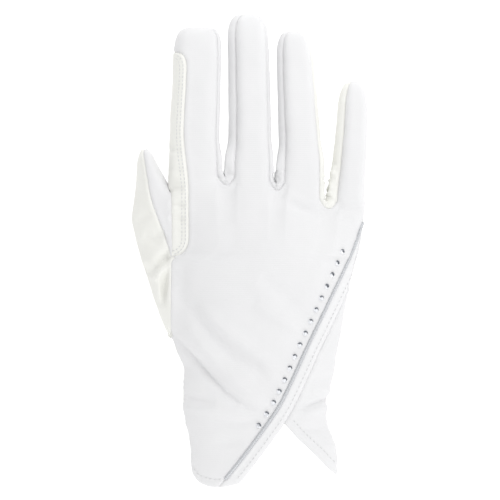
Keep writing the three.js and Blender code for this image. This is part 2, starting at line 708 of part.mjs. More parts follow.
// A panel of the skin as a closed wall: its edges drawn back from the seams by half a gap.
function panelWall(name, thickness) {
  const own = faces.filter((face) => face.panel === name);
  const used = new Map();
  for (const { a, b, c } of own) {
    for (const id of [a, b, c]) if (!used.has(id)) used.set(id, used.size);
  }
  const edgeCount = new Map();
  for (const face of own) {
    for (const [from, to] of [[face.a, face.b], [face.b, face.c], [face.c, face.a]]) {
      edgeCount.set(`${from} ${to}`, face);
    }
  }
  const rim = [...edgeCount.keys()].filter((key) => {
    const [from, to] = key.split(' ');
    return !edgeCount.has(`${to} ${from}`);
  }).map((key) => ({ ends: key.split(' ').map(Number), face: edgeCount.get(key) }));
  const pulls = new Map();
  for (const { ends: [from, to], face } of rim) {
    const [pa, pb, pc] = [corners[face.a], corners[face.b], corners[face.c]];
    const normal = pb.clone().sub(pa).cross(pc.clone().sub(pa)).normalize();
    const run = corners[to].clone().sub(corners[from]).normalize();
    for (const id of [from, to]) {
      if (!pulls.has(id)) pulls.set(id, []);
      pulls.get(id).push({ along: normal.clone().cross(run), square: outward[id].clone().cross(run).normalize() });
    }
  }
  const outer = [...used.keys()].map((id) => {
    const point = corners[id].clone();
    if (!pulls.has(id)) return point;
    const along = new THREE.Vector3();
    const square = new THREE.Vector3();
    for (const pull of pulls.get(id)) {
      along.add(pull.along);
      square.add(pull.square);
    }
    along.normalize();
    square.normalize();
    const mitre = Math.max(square.dot(pulls.get(id)[0].square), leastMitre);
    const slope = Math.max(square.dot(along), leastMitre);
    return point.addScaledVector(along, seamGap / 2 / mitre / slope);
  });
  const inner = [...used.keys()].map((id, place) => outer[place].clone().addScaledVector(outward[id], -thickness));
  const triangles = [];
  const shift = outer.length;
  for (const { a, b, c } of own) {
    const [i, j, k] = [a, b, c].map((id) => used.get(id));
    triangles.push(i, j, k, i + shift, k + shift, j + shift);
  }
  for (const { ends } of rim) {
    const [from, to] = ends.map((id) => used.get(id));
    triangles.push(to, from, from + shift, to, from + shift, to + shift);
  }
  return solid([...outer, ...inner], triangles);
}

function solid(points, triangles) {
  const geometry = new THREE.BufferGeometry();
  geometry.setAttribute('position', new THREE.Float32BufferAttribute(points.flatMap((p) => p.toArray()), 3));
  geometry.setIndex(triangles);
  return geometry;
}

// Booleans: a closed geometry as a solid, and the result as a geometry again.
function toManifold(geometry) {
  const bare = geometry.clone();
  bare.deleteAttribute('normal');
  bare.deleteAttribute('uv');
  const merged = mergeVertices(bare, 1e-5);
  return new wasm.Manifold(
    new wasm.Mesh({
      numProp: 3,
      vertProperties: new Float32Array(merged.getAttribute('position').array),
      triVerts: new Uint32Array(merged.index.array),
    })
  );
}

function toGeometry(manifold) {
  const mesh = manifold.getMesh();
  const geometry = new THREE.BufferGeometry();
  geometry.setAttribute('position', new THREE.BufferAttribute(new Float32Array(mesh.vertProperties), 3));
  geometry.setIndex([...mesh.triVerts]);
  return geometry;
}

const prismHeight = 4 * palmThickness;

function prism(outline) {
  const shape = new THREE.Shape(outline);
  const geometry = new THREE.ExtrudeGeometry(shape, { depth: prismHeight, bevelEnabled: false, steps: 1 });
  geometry.translate(0, 0, -prismHeight / 2);
  return toManifold(geometry);
}

// The piping's way: shares of handLength up, and of palmWidth in from the little finger's side.
const pipingWay = [
  { up: 0.96, inward: -0.03 },
  { up: 0.88, inward: 0.015 },
  { up: 0.83, inward: 0.041 },
  { up: 0.779, inward: 0.072 },
  { up: 0.706, inward: 0.124 },
  { up: 0.645, inward: 0.17 },
  { up: 0.555, inward: 0.237 },
  { up: 0.465, inward: 0.304 },
  { up: 0.388, inward: 0.358 },
  { up: 0.331, inward: 0.399 },
  { up: 0.281, inward: 0.438 },
  { up: 0.231, inward: 0.487 },
  { up: 0.177, inward: 0.547 },
  { up: 0.12, inward: 0.612 },
  { up: 0.06, inward: 0.684 },
  { up: 0.0, inward: 0.76 },
];
const wayPoints = pipingWay.map(
  ({ up, inward }) => new THREE.Vector3(palmRight - inward * palmWidth, up * handLength, 0)
);
const way = new THREE.CatmullRomCurve3(wayPoints, false, 'centripetal');
const wayLength = way.getLength();
const waySteps = 30;

// A line beside the piping: distance to its right, seen walking down from the little finger, is negative.
function beside(distance, from, to) {
  const line = [];
  for (let step = 0; step <= waySteps; step++) {
    const share = lerp(from, to, step / waySteps);
    const point = way.getPointAt(share);
    const run = way.getTangentAt(share);
    line.push(new THREE.Vector2(point.x + run.y * distance(share), point.y - run.x * distance(share)));
  }
  return line;
}

const far = 3 * palmWidth;
const pipingHalf = pipingDiameter / 2 + seamGap;
const bandFrom = 0.1; // shares of the piping's way over which the band widens
const bandFull = 0.35;
const bandEdge = (share) => -(pipingHalf + bandWidth * smoothstep(share, bandFrom, bandFull));

// Everything on the little finger's side of a line beside the piping.
function sideOf(line) {
  const first = line[0];
  const last = line[line.length - 1];
  return prism([
    ...line,
    new THREE.Vector2(last.x, -far),
    new THREE.Vector2(far, -far),
    new THREE.Vector2(far, first.y),
  ]);
}

// The cuff's lower edge: the thumb side's round lobe, the vent and the tail.
const lobe = [
  { up: 0.075, across: -0.3 },
  { up: 0.062, across: 0.0 },
  { up: 0.035, across: 0.01 },
  { up: 0.014, across: 0.04 },
  { up: 0.003, across: 0.1 },
  { up: 0.0, across: 0.155 },
  { up: 0.003, across: 0.22 },
];
const tail = [
  { down: 0, across: 0.715 },
  { down: 0.3, across: 0.77 },
  { down: 0.62, across: 0.86 },
  { down: 0.82, across: 0.92 },
  { down: 0.96, across: 0.975 },
  { down: 1.0, across: 1.0 },
  { down: 0.9, across: 1.3 },
];

function cuffPoint(height, across) {
  return new THREE.Vector2(lerp(handLeft(height), handRight(height), across), height);
}

const ventShare = wayShareAt(ventHeight);
const ventLowest = 0.012; // share of handLength where the lobe's hem takes over from the vent's edge
const ventLine = beside(bandEdge, ventShare, wayShareAt(0.02 * handLength)).reverse();
const ventPoint = ventLine[ventLine.length - 1];
const tailShift = ventPoint.x - cuffPoint(ventPoint.y, tail[0].across).x;
const hemCut = prism([
  new THREE.Vector2(-far, -far),
  new THREE.Vector2(-far, lobe[0].up * handLength),
  ...lobe.map(({ up, across }) => cuffPoint(up * handLength, across)),
  ...ventLine.filter((point) => point.y > ventLowest * handLength),
  ...tail.slice(1).map(({ down, across }) => {
    const point = cuffPoint(lerp(ventPoint.y, tailHeight, down), across);
    return new THREE.Vector2(point.x + tailShift * (1 - down), point.y);
  }),
  new THREE.Vector2(far, tailHeight),
  new THREE.Vector2(far, -far),
]);

// Share of the piping's way whose band edge lies at a height.
function wayShareAt(height) {
  let low = 0;
  let high = 1;
  for (let turn = 0; turn < 40; turn++) {
    const share = (low + high) / 2;
    const y = way.getPointAt(share).y + way.getTangentAt(share).x * -bandEdge(share);
    if (y > height) low = share;
    else high = share;
  }
  return (low + high) / 2;
}

// Height of the back's surface over a place, and the way that it faces there.
function onBack(x, y) {
  let best = null;
  for (const { a, b, c, panel } of faces) {
    if (panel !== 'back_panel') continue;
    const [pa, pb, pc] = [corners[a], corners[b], corners[c]];
    const area = (pb.x - pa.x) * (pc.y - pa.y) - (pc.x - pa.x) * (pb.y - pa.y);
    if (area < 1e-6) continue;
    const wb = ((x - pa.x) * (pc.y - pa.y) - (pc.x - pa.x) * (y - pa.y)) / area;
    const wc = ((pb.x - pa.x) * (y - pa.y) - (x - pa.x) * (pb.y - pa.y)) / area;
    if (wb < -1e-6 || wc < -1e-6 || wb + wc > 1 + 1e-6) continue;
    const z = pa.z + wb * (pb.z - pa.z) + wc * (pc.z - pa.z);
    if (best && best.point.z >= z) continue;
    const normal = pb.clone().sub(pa).cross(pc.clone().sub(pa)).normalize();
    best = { point: new THREE.Vector3(x, y, z), normal };
  }
  return best;
}

const dorsalCloth = toManifold(panelWall('back_panel', fabricWall));
const leftOfPiping = sideOf(beside(() => pipingHalf, 0, 1));
const rightOfPiping = sideOf(beside(() => -pipingHalf, 0, 1));
const rightOfBand = sideOf(beside(bandEdge, 0, 1));
const rightOfBandSeam = sideOf(beside((share) => bandEdge(share) - seamGap, 0, 1));

const backPanel = dorsalCloth.subtract(leftOfPiping).subtract(hemCut);
const besidePiping = dorsalCloth.intersect(rightOfPiping).subtract(hemCut);
const facingBand = besidePiping.subtract(rightOfBand);
const sidePanel = besidePiping.intersect(rightOfBandSeam);
const palmPanel = toManifold(panelWall('palm_panel', leatherWall)).subtract(hemCut);

const largest = (manifold) =>
  manifold.decompose().reduce((best, piece) => (piece.volume() > best.volume() ? piece : best));

// The piping lies in the seam, its middle on the cloth's surface.
const pipingSides = 8;
const pipingSteps = 40;
const pipingStart = 0.06; // share of its way
const pipingEnd = 0.03; // share of handLength up

function pipingCurve() {
  const points = [];
  for (let step = 0; step <= pipingSteps; step++) {
    const share = lerp(pipingStart, wayShareAt(pipingEnd * handLength), step / pipingSteps);
    const place = way.getPointAt(share);
    const found = onBack(place.x, place.y);
    if (found) points.push(found.point);
  }
  return new THREE.CatmullRomCurve3(points, false, 'centripetal');
}

function pipingGeometry() {
  const section = new THREE.Shape();
  section.absarc(0, 0, pipingDiameter / 2, 0, 2 * Math.PI, false);
  return new THREE.ExtrudeGeometry(section, {
    steps: pipingSteps, curveSegments: pipingSides / 2, bevelEnabled: false, extrudePath: pipingCurve(),
  });
}

// Round cut stone: a flat back, a thin girdle, eight crown facets and a table.
const facetCount = 8;
const girdleShare = 0.25; // of the stone's height
const tableShare = 0.55; // of its radius

function stoneGeometry() {
  const radius = stoneDiameter / 2;
  const profile = [
    new THREE.Vector2(0, 0),
    new THREE.Vector2(radius, 0),
    new THREE.Vector2(radius, stoneHeight * girdleShare),
    new THREE.Vector2(radius * tableShare, stoneHeight),
    new THREE.Vector2(0, stoneHeight),
  ];
  const geometry = new THREE.LatheGeometry(profile, facetCount);
  geometry.rotateX(Math.PI / 2);
  return geometry;
}

const stonesFrom = 0.195; // shares of the piping's way
const stonesTo = 0.796;
const stoneInset = { from: 4.6, to: 3.0 }; // from the piping's middle to the stones' middles

function stonePlace(stone) {
  const share = lerp(stonesFrom, stonesTo, stone / (stoneCount - 1));
  const inset = lerp(stoneInset.from, stoneInset.to, stone / (stoneCount - 1));
  const point = way.getPointAt(share);
  const run = way.getTangentAt(share);
  return onBack(point.x + run.y * inset, point.y - run.x * inset);
}

const glove = new THREE.Group();

function addPiece(name, geometry, material) {
  const mesh = new THREE.Mesh(geometry, material);
  mesh.name = name;
  glove.add(mesh);
  return mesh;
}

addPiece('back_panel', toGeometry(largest(backPanel)), fabricMaterial);
addPiece('side_panel', toGeometry(largest(sidePanel)), fabricMaterial);
addPiece('facing_band', toGeometry(largest(facingBand)), bandMaterial);
addPiece('palm_panel', toGeometry(largest(palmPanel)), leatherMaterial);
addPiece('thumb_leather', panelWall('thumb_leather', leatherWall), leatherMaterial);
addPiece('thumb_fabric', panelWall('thumb_fabric', fabricWall), fabricMaterial);
addPiece('index_strip', panelWall('index_strip', leatherWall), leatherMaterial);
addPiece('fourchette_index_middle', panelWall('fourchette_index_middle', fabricWall), fabricMaterial);
addPiece('fourchette_middle_ring', panelWall('fourchette_middle_ring', fabricWall), fabricMaterial);
addPiece('fourchette_ring_little', panelWall('fourchette_ring_little', leatherWall), leatherMaterial);
addPiece('piping', pipingGeometry(), pipingMaterial);

for (let stone = 0; stone < stoneCount; stone++) {
  const { point, normal } = stonePlace(stone);
  const name = `stone_${String(stone + 1).padStart(2, '0')}`;
  const mesh = addPiece(name, stoneGeometry(), stoneMaterial);
  mesh.quaternion.setFromUnitVectors(new THREE.Vector3(0, 0, 1), normal);
  mesh.position.copy(point).addScaledVector(normal, seamGap);
}

// The origin is the middle of the glove's outline, on the ground.
const box = new THREE.Box3().setFromObject(glove);
glove.position.set(-(box.min.x + box.max.x) / 2, -(box.min.y + box.max.y) / 2, -box.min.z);

export default glove;
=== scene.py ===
"""Right-hand riding glove, lying palm down: sewn stretch fabric and leather, piping and cut stones."""
import math

import bpy
import numpy as np
from mathutils import Matrix, Vector, kdtree, noise
from mathutils.bvhtree import BVHTree


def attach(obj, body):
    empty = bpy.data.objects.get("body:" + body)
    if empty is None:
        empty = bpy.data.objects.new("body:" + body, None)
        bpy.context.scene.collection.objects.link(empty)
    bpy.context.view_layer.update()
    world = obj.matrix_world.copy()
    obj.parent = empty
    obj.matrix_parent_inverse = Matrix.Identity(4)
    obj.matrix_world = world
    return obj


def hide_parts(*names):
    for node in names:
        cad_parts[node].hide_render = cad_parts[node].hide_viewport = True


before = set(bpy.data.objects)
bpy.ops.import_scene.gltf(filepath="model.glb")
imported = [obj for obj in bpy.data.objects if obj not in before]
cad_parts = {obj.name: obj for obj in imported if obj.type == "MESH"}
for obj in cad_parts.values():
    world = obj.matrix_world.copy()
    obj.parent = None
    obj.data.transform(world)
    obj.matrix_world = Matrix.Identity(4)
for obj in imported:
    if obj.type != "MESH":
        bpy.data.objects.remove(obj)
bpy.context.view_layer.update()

# The table, the light and the camera
# A plain white opal table that glows softly, a soft box beyond the fingertips, another beyond the cuff, and
# a pale room all round with a dark patch overhead. A long lens looks straight down from 1.6 m.


def linear(hex_colour):
    """An sRGB hex colour as linear red, green, blue and alpha."""
    channels = [int(hex_colour[place : place + 2], 16) / 255 for place in (1, 3, 5)]
    curve = [part / 12.92 if part <= 0.04045 else ((part + 0.055) / 1.055) ** 2.4 for part in channels]
    return (*curve, 1.0)


def add_node(tree, kind, settings=(), links=()):
    """A node with its settings; a link joins one of its inputs to another node's output."""
    node = tree.nodes.new(kind)
    for name, value in dict(settings).items():
        if name in node.inputs:
            node.inputs[name].default_value = value
        else:
            setattr(node, name, value)
    for name, output in dict(links).items():
        tree.links.new(output, node.inputs[name])
    return node


def new_material(name):
    """An empty material: its name and its tree of nodes."""
    material = bpy.data.materials.new(name)
    material.use_nodes = True
    material.node_tree.nodes.clear()
    return material, material.node_tree


def finish_material(tree, settings, links=()):
    """The surface's shader and the material's output."""
    shader = add_node(tree, "ShaderNodeBsdfPrincipled", settings, links)
    add_node(tree, "ShaderNodeOutputMaterial", links={"Surface": shader.outputs["BSDF"]})


# Opal acrylic, sanded: it shows no reflection and almost no shadow, because it glows by itself.
TABLE_COLOUR, GLOW_COLOUR = "#9A9A9A", "#FFFFFF"
TABLE_GLOW = 0.95
TABLE_SIDE = 3.0
opal_acrylic, opal_tree = new_material("opal_acrylic_table")
finish_material(
    opal_tree,
    {"Base Color": linear(TABLE_COLOUR), "Roughness": 0.9, "Emission Color": linear(GLOW_COLOUR),
     "Emission Strength": TABLE_GLOW},
)
table_mesh = bpy.data.meshes.new("table")
half_side = TABLE_SIDE / 2
corners = [(half_side * x, half_side * y, 0) for x, y in ((-1, -1), (1, -1), (1, 1), (-1, 1))]
table_mesh.from_pydata(corners, [], [(0, 1, 2, 3)])
table_mesh.materials.append(opal_acrylic)
table_top = bpy.data.objects.new("table_top", table_mesh)
bpy.context.scene.collection.objects.link(table_top)


def soft_box(name, place, size, watts, colour):
    """A square light at a place in metres, turned to the glove's middle."""
    lamp = bpy.data.lights.new(name, "AREA")
    lamp.shape = "SQUARE"
    lamp.size = size
    lamp.energy = watts
    lamp.color = linear(colour)[:3]
    holder = bpy.data.objects.new(name, lamp)
    holder.location = place
    holder.rotation_euler = (-Vector(place)).to_track_quat("-Z", "Y").to_euler()
    bpy.context.scene.collection.objects.link(holder)


# The boxes stand near the fingertips and near the cuff, so the hand's middle is a little darker.
LAMP_COLOUR = "#FFFFFF"
soft_box("fingertip_box", (0.17, 0.32, 0.36), 0.35, 1.0, LAMP_COLOUR)
soft_box("cuff_box", (0.04, -0.42, 0.24), 0.3, 0.6, LAMP_COLOUR)
ROOM_COLOUR, DARK_PATCH_COLOUR = "#FFFFFF", "#202020"
ROOM_STRENGTH = 0.862
DARK_PATCH_WAY = (-0.1, 0.28, 1.0)
DARK_PATCH_TURN = math.radians(26)
room = bpy.data.worlds.new("pale_room")
room.use_nodes = True
background = room.node_tree.nodes["Background"]
background.inputs["Strength"].default_value = ROOM_STRENGTH
bearing = add_node(room.node_tree, "ShaderNodeTexCoord")
lean = add_node(room.node_tree, "ShaderNodeVectorMath", {"operation": "DOT_PRODUCT"})
lean.inputs[1].default_value = Vector(DARK_PATCH_WAY).normalized()
room.node_tree.links.new(bearing.outputs["Generated"], lean.inputs[0])
patch = add_node(
    room.node_tree,
    "ShaderNodeMapRange",
    {"interpolation_type": "SMOOTHSTEP", "From Min": math.cos(DARK_PATCH_TURN), "From Max": 1.0},
    {"Value": lean.outputs["Value"]},
)
shades = add_node(
    room.node_tree,
    "ShaderNodeMix",
    {"data_type": "RGBA", "A": linear(ROOM_COLOUR), "B": linear(DARK_PATCH_COLOUR)},
    {"Factor": patch.outputs["Result"]},
)
room.node_tree.links.new(shades.outputs["Result"], background.inputs["Color"])
bpy.context.scene.world = room
bpy.context.scene.view_settings.view_transform = "Standard"

FRAME_WIDTH = 0.23875  # what the frame takes in at the height of the glove's outline, in metres
SENSOR_WIDTH = 36.0
CAMERA_HEIGHT = 1.6
OUTLINE_HEIGHT = 0.007
CAMERA_SIDE = 0.00024
lens = bpy.data.cameras.new("camera")
lens.sensor_width = SENSOR_WIDTH
lens.lens = SENSOR_WIDTH * (CAMERA_HEIGHT - OUTLINE_HEIGHT) / FRAME_WIDTH
camera = bpy.data.objects.new("camera", lens)
camera.location = (CAMERA_SIDE, 0, CAMERA_HEIGHT)
bpy.context.scene.collection.objects.link(camera)
bpy.context.scene.camera = camera

# The sewn shell
# The outer skin of the whole glove in millimetres, filled out as if just taken off. It is laid out as
# rows and columns, as the panels were cut, and each cell knows the panel that it belongs to.
SHIFT = (-38.36, -112.99)  # from the pattern's own zero to the middle of the glove's outline
HAND_LENGTH = 142.8  # lowest hem point up to the fork of index and middle finger
WRIST_WIDTH = 69.2
WRIST_SHIFT = -6.4
PALM_THICK, KNUCKLE_THICK, WRIST_THICK, CUFF_THICK = 24.5, 19.6, 19.0, 17.0
EDGE_HEIGHT = 6.5
FORK_DEPTH = 5.6
FORK_SEAM_HEIGHT = 15.8
TIP_HEIGHT = 4.4
TIP_ROUND = 15.0
DORSAL_SEAM, ROOT_SEAM, PALMAR_SEAM, PALMAR_SEAM_HEIGHT = 0.73, 0.88, 0.07, 1.3
TIP_LINE = 0.96
TIP_POWER = 2.2
LEAN_END = 0.75  # share of a finger up to which it leans over
ROOT_BLEND, SEAM_BLEND = (-0.1, 0.4), (0.0, 0.4)  # shares over which the root turns into the finger
FINGER_EDGE_SHARE, FINGER_EDGE_FALL = 0.8, 0.5
FINGER_CROWN = (3.6, 0.5)
ROOT_FULLNESS = 0.62
LITTLE_CANT = 0.55
THUMB_FORK = HAND_LENGTH - 2.9
THUMB_TIP = THUMB_FORK + 21.5
THUMB_BASE = 70.7
THUMB_SPREAD = 19.6
THUMB_THICK = 15.0
THUMB_TIP_HEIGHT = 5.0
THUMB_SEAM_SHARE = 0.75
THUMB_EDGE_SHARE = 0.85
THUMB_PALMAR_RISE = 0.8
THUMB_TIP_SHARE = 0.7  # how much of its free length the thumb's round tip takes
THUMB_REST_END = 0.35
THUMB_CROWN_SHARE, THUMB_BASE_CROWN = 0.55, 0.35
THUMB_CROWN = (2.2, 0.8)
UNDER_FLAT, THUMB_UNDER_FLAT = 0.55, 0.5  # share of the width that lies flat on the table
STRIP_WIDTH = 8.2  # on the hand
STRIP_FINGER_WIDTH = 5.2
STRIP_TAPER_END = 0.4
STRIP_TOP_DROP = 12.0
STRIP_TOP_ROUND = 0.1  # share of the index finger over which the strip's top is rounded
STRIP_FOOT_ROUND = 1.1  # length of its rounded foot, in widths
STRIP_END = 109.4


def mix(low, high, share):
    return low + (high - low) * share


def limit(value, low=0.0, high=1.0):
    return min(max(value, low), high)


def ease(value, low, high):
    share = limit((value - low) / (high - low))
    return share * share * (3 - 2 * share)


def dome(share, power):
    return max(0.0, 1 - limit(share) ** power) ** (1 / power)


def read(table, column, place):
    """A smooth curve through a table's rows, whose first column is the place along it."""
    last = len(table) - 1
    if place <= table[0][0]:
        return table[0][column]
    if place >= table[last][0]:
        return table[last][column]
    row = next(number for number, entry in enumerate(table) if entry[0] > place) - 1
    before, start, end, after = (table[int(limit(number, 0, last))] for number in range(row - 1, row + 3))
    span = end[0] - start[0]
    share = (place - start[0]) / span
    leave = (end[column] - before[column]) / (end[0] - before[0]) * span
    arrive = (after[column] - start[column]) / (after[0] - start[0]) * span
    square, cube = share**2, share**3
    return (
        (2 * cube - 3 * square + 1) * start[column]
        + (cube - 2 * square + share) * leave
        + (3 * square - 2 * cube) * end[column]
        + (cube - square) * arrive
    )


class Finger:
    """One finger: its sizes, and its seams as shares of its width in from its outline."""

    def __init__(self, name, length, width, gap, drop, lean, bow, taper, square, seams, thick):
        self.name, self.length, self.width, self.gap, self.drop = name, length, width, gap, drop
        self.lean, self.bow, self.taper, self.square = lean, bow, taper, square
        self.seam_left, self.seam_right = seams
        self.thick = thick

    def shape(self, height):
        along = (height - self.fork) / self.length
        share = limit(along)
        near_tip = limit(1 - (self.tip - height) / TIP_ROUND)
        narrow = mix(1, self.taper, share)
        half = self.width / 2 * narrow * dome(min(near_tip, TIP_LINE), self.square)
        centre = self.base + self.lean * self.length * ease(share, 0, LEAN_END)
        centre += self.bow * self.width * math.sin(math.pi * share)
        if self.name == "little":
            centre += self.width / 2 * (1 - narrow) * LITTLE_CANT
        swell = dome(near_tip, TIP_POWER)
        root_thick = mix(self.thick, KNUCKLE_THICK, ROOT_FULLNESS)
        thick = mix(root_thick, self.thick, ease(along, *ROOT_BLEND))
        seam_height = mix(ROOT_SEAM, DORSAL_SEAM, ease(along, *SEAM_BLEND)) * thick
        edge_rise = (EDGE_HEIGHT * FINGER_EDGE_SHARE - TIP_HEIGHT) * (1 - share * FINGER_EDGE_FALL)
        return {
            "left": centre - half,
            "right": centre + half,
            "ridge": mix(TIP_HEIGHT, thick, swell),
            "dorsal": mix(TIP_HEIGHT, seam_height, swell),
            "palmar": mix(TIP_HEIGHT, PALMAR_SEAM_HEIGHT, swell),
            "under": TIP_HEIGHT * (1 - swell),
            "edge": TIP_HEIGHT + edge_rise * swell,
        }


# Length and width, the gap before it and how far its fork lies lower; then its lean, its bow, what is left
# of its width at the tip, how square the tip is, its two seams and its thickness.
index = Finger("index", 76.8, 24.1, 0, 0, 0.025, -0.035, 0.92, 3.4, (0.05, 0.04), 14)
middle = Finger("middle", 83.1, 21.5, 2.9, 0, -0.008, 0.04, 0.91, 2.8, (0.22, 0.04), 14)
ring = Finger("ring", 77.3, 22.2, 2.2, 2.4, -0.036, 0.08, 0.78, 2.6, (0.19, 0.06), 14)
little = Finger("little", 62.6, 18.4, 2.4, 11.5, 0.035, 0, 0.78, 2.3, (0.28, 0), 12.5)
fingers = [index, middle, ring, little]
reached = 0.0
for finger in fingers:
    finger.left = reached + finger.gap
    reached = finger.left + finger.width
    finger.base = finger.left + finger.width / 2
    finger.fork = HAND_LENGTH - finger.drop
    finger.tip = finger.fork + finger.length
PALM_LEFT = index.left + index.seam_left * index.width
PALM_RIGHT = little.left + little.width
PALM_WIDTH = PALM_RIGHT - PALM_LEFT
WRIST_CENTRE = (PALM_LEFT + PALM_RIGHT) / 2 + WRIST_SHIFT

# Height share, then 0 at the palm's edge to 1 at the wrist's: thumb's side, little finger's side.
HAND_OUTLINE = [
    (0, 2.0, 0.7), (0.07, 1.64, 0.7), (0.12, 1.58, 0.71), (0.171, 1.42, 0.83), (0.221, 1.1, 0.97),
    (0.284, 0.92, 1.0), (0.338, 0.92, 0.87), (0.395, 1.0, 0.77), (0.448, 0.33, 0.72), (0.505, -0.05, 0.63),
    (0.622, -0.09, 0.45), (0.689, -0.03, 0.34), (0.766, 0, 0.17), (0.856, 0, 0.03), (0.957, 0, -0.03),
]
HAND_THICK = [(0, CUFF_THICK), (0.38, WRIST_THICK), (0.72, PALM_THICK), (1, KNUCKLE_THICK)]


def hand_left(height):
    return mix(PALM_LEFT, WRIST_CENTRE - WRIST_WIDTH / 2, read(HAND_OUTLINE, 1, height / HAND_LENGTH))


def hand_right(height):
    return mix(PALM_RIGHT, WRIST_CENTRE + WRIST_WIDTH / 2, read(HAND_OUTLINE, 2, height / HAND_LENGTH))


# Share of the thumb's height, then shares of its spread: outline, seam, and the side at the index finger.
THUMB_OUTLINE = [
    (0, 0, 0, 0), (0.042, 0.11, 0, 0), (0.147, 0.32, 0, 0), (0.253, 0.5, 0, 0), (0.358, 0.67, 0, 0),
    (0.426, 0.79, 0, 0), (0.568, 0.95, 0.21, 0), (0.632, 1.0, 0.33, 0), (0.7, 0.96, 0.45, 0),
    (0.763, 0.92, 0.54, 0), (0.831, 0.88, 0.59, 0.15), (0.895, 0.86, 0.64, 0.3), (0.947, 0.83, 0.68, 0.42),
    (0.98, 0.78, 0.7, 0.52), (1, 0.72, 0.68, 0.62),
]


NEARLY = 0.001  # mm within which two places are the same


def thumb_shape(height):
    up = (height - THUMB_BASE) / (THUMB_TIP - THUMB_BASE)
    hand = hand_left(min(height, THUMB_FORK))
    near_tip = limit(1 - (THUMB_TIP - height) / (THUMB_TIP_SHARE * (THUMB_TIP - THUMB_FORK)))
    swell = dome(near_tip, TIP_POWER)
    rest = ease(up, 0, THUMB_REST_END)
    crown = (THUMB_THICK - THUMB_TIP_HEIGHT) * THUMB_CROWN_SHARE
    seam_out = 0 if height <= STRIP_END + NEARLY else max(0.0, read(THUMB_OUTLINE, 2, up))
    return {
        "outer": hand - THUMB_SPREAD * read(THUMB_OUTLINE, 1, up),
        "inner": hand - THUMB_SPREAD * read(THUMB_OUTLINE, 3, up),
        "seam": hand - THUMB_SPREAD * seam_out,
        "edge": mix(THUMB_TIP_HEIGHT, EDGE_HEIGHT * THUMB_EDGE_SHARE, swell),
        "crown": crown * swell * mix(THUMB_BASE_CROWN, 1, rest),
        "palmar": mix(THUMB_TIP_HEIGHT, mix(EDGE_HEIGHT, THUMB_PALMAR_RISE, rest), swell),
        "under": THUMB_TIP_HEIGHT * (1 - swell),
        "dorsal": mix(THUMB_TIP_HEIGHT, THUMB_SEAM_SHARE * THUMB_THICK, swell),
    }


WELD_STEPS = 2000  # to the millimetre: points that round to the same step are one
skin_points, point_number = [], {}
skin_faces, skin_panels = [], []


def skin_point(point):
    key = tuple(round(value * WELD_STEPS) for value in point)
    if key not in point_number:
        point_number[key] = len(skin_points)
        skin_points.append(tuple(point))
    return point_number[key]


def add_grid(rows, panel_of):
    """Cells of a grid whose rows go up and whose columns go right, seen from outside."""
    numbers = [[skin_point(point) for point in row] for row in rows]
    for row in range(len(rows) - 1):
        for column in range(len(rows[row]) - 1):
            low, high = numbers[row], numbers[row + 1]
            ring_of = [low[column], low[column + 1], high[column + 1], high[column]]
            face = [number for place, number in enumerate(ring_of) if number != ring_of[place - 1]]
            if len(set(face)) >= 3:
                skin_faces.append(face)
                skin_panels.append(panel_of(row, column))


def mirrored(rows):
    return [row[::-1] for row in rows]


def steps(stops, counts):
    """Places from stop to stop, with a count of steps for each stretch."""
    places = [stops[0]]
    for number, count in enumerate(counts):
        places += [mix(stops[number], stops[number + 1], (step + 1) / count) for step in range(count)]
    return places


STRIP_COLUMNS, FORK_COLUMNS = 12, 8
FINGER_COLUMNS = {"index": 22, "middle": 28, "ring": 28, "little": 24}
FINGER_ROWS, ROUND_ROWS, STRIP_TOP_ROWS = 64, 16, (18, 9)
TIP_STOPS, TIP_ROWS = [0.94, 0.985, 1], [7, 5]  # closer rows where the fingertip turns under
STRIP_TOP = 1 - STRIP_TOP_DROP / index.length
LEAST_WIDTH = 0.1  # mm; where a finger narrows to its tip


def finger_rows(finger):
    if finger is not index:
        return steps([0, 1 - TIP_ROUND / finger.length, *TIP_STOPS], [FINGER_ROWS, ROUND_ROWS, *TIP_ROWS])
    stops = [0, STRIP_TOP - STRIP_TOP_ROUND, STRIP_TOP, *TIP_STOPS]
    return steps(stops, [FINGER_ROWS, *STRIP_TOP_ROWS, *TIP_ROWS])


def strip_on_finger(along):
    """The strip's width on the index finger, as a share of its full width there."""
    return 0 if along >= STRIP_TOP else dome((along - (STRIP_TOP - STRIP_TOP_ROUND)) / STRIP_TOP_ROUND, 2)


def strip_wide(along):
    return strip_on_finger(along) * mix(STRIP_WIDTH, STRIP_FINGER_WIDTH, ease(along, 0, STRIP_TAPER_END))


def strip_on_hand(height):
    return 0 if height <= STRIP_END else dome(1 - (height - STRIP_END) / (STRIP_WIDTH * STRIP_FOOT_ROUND), 2)


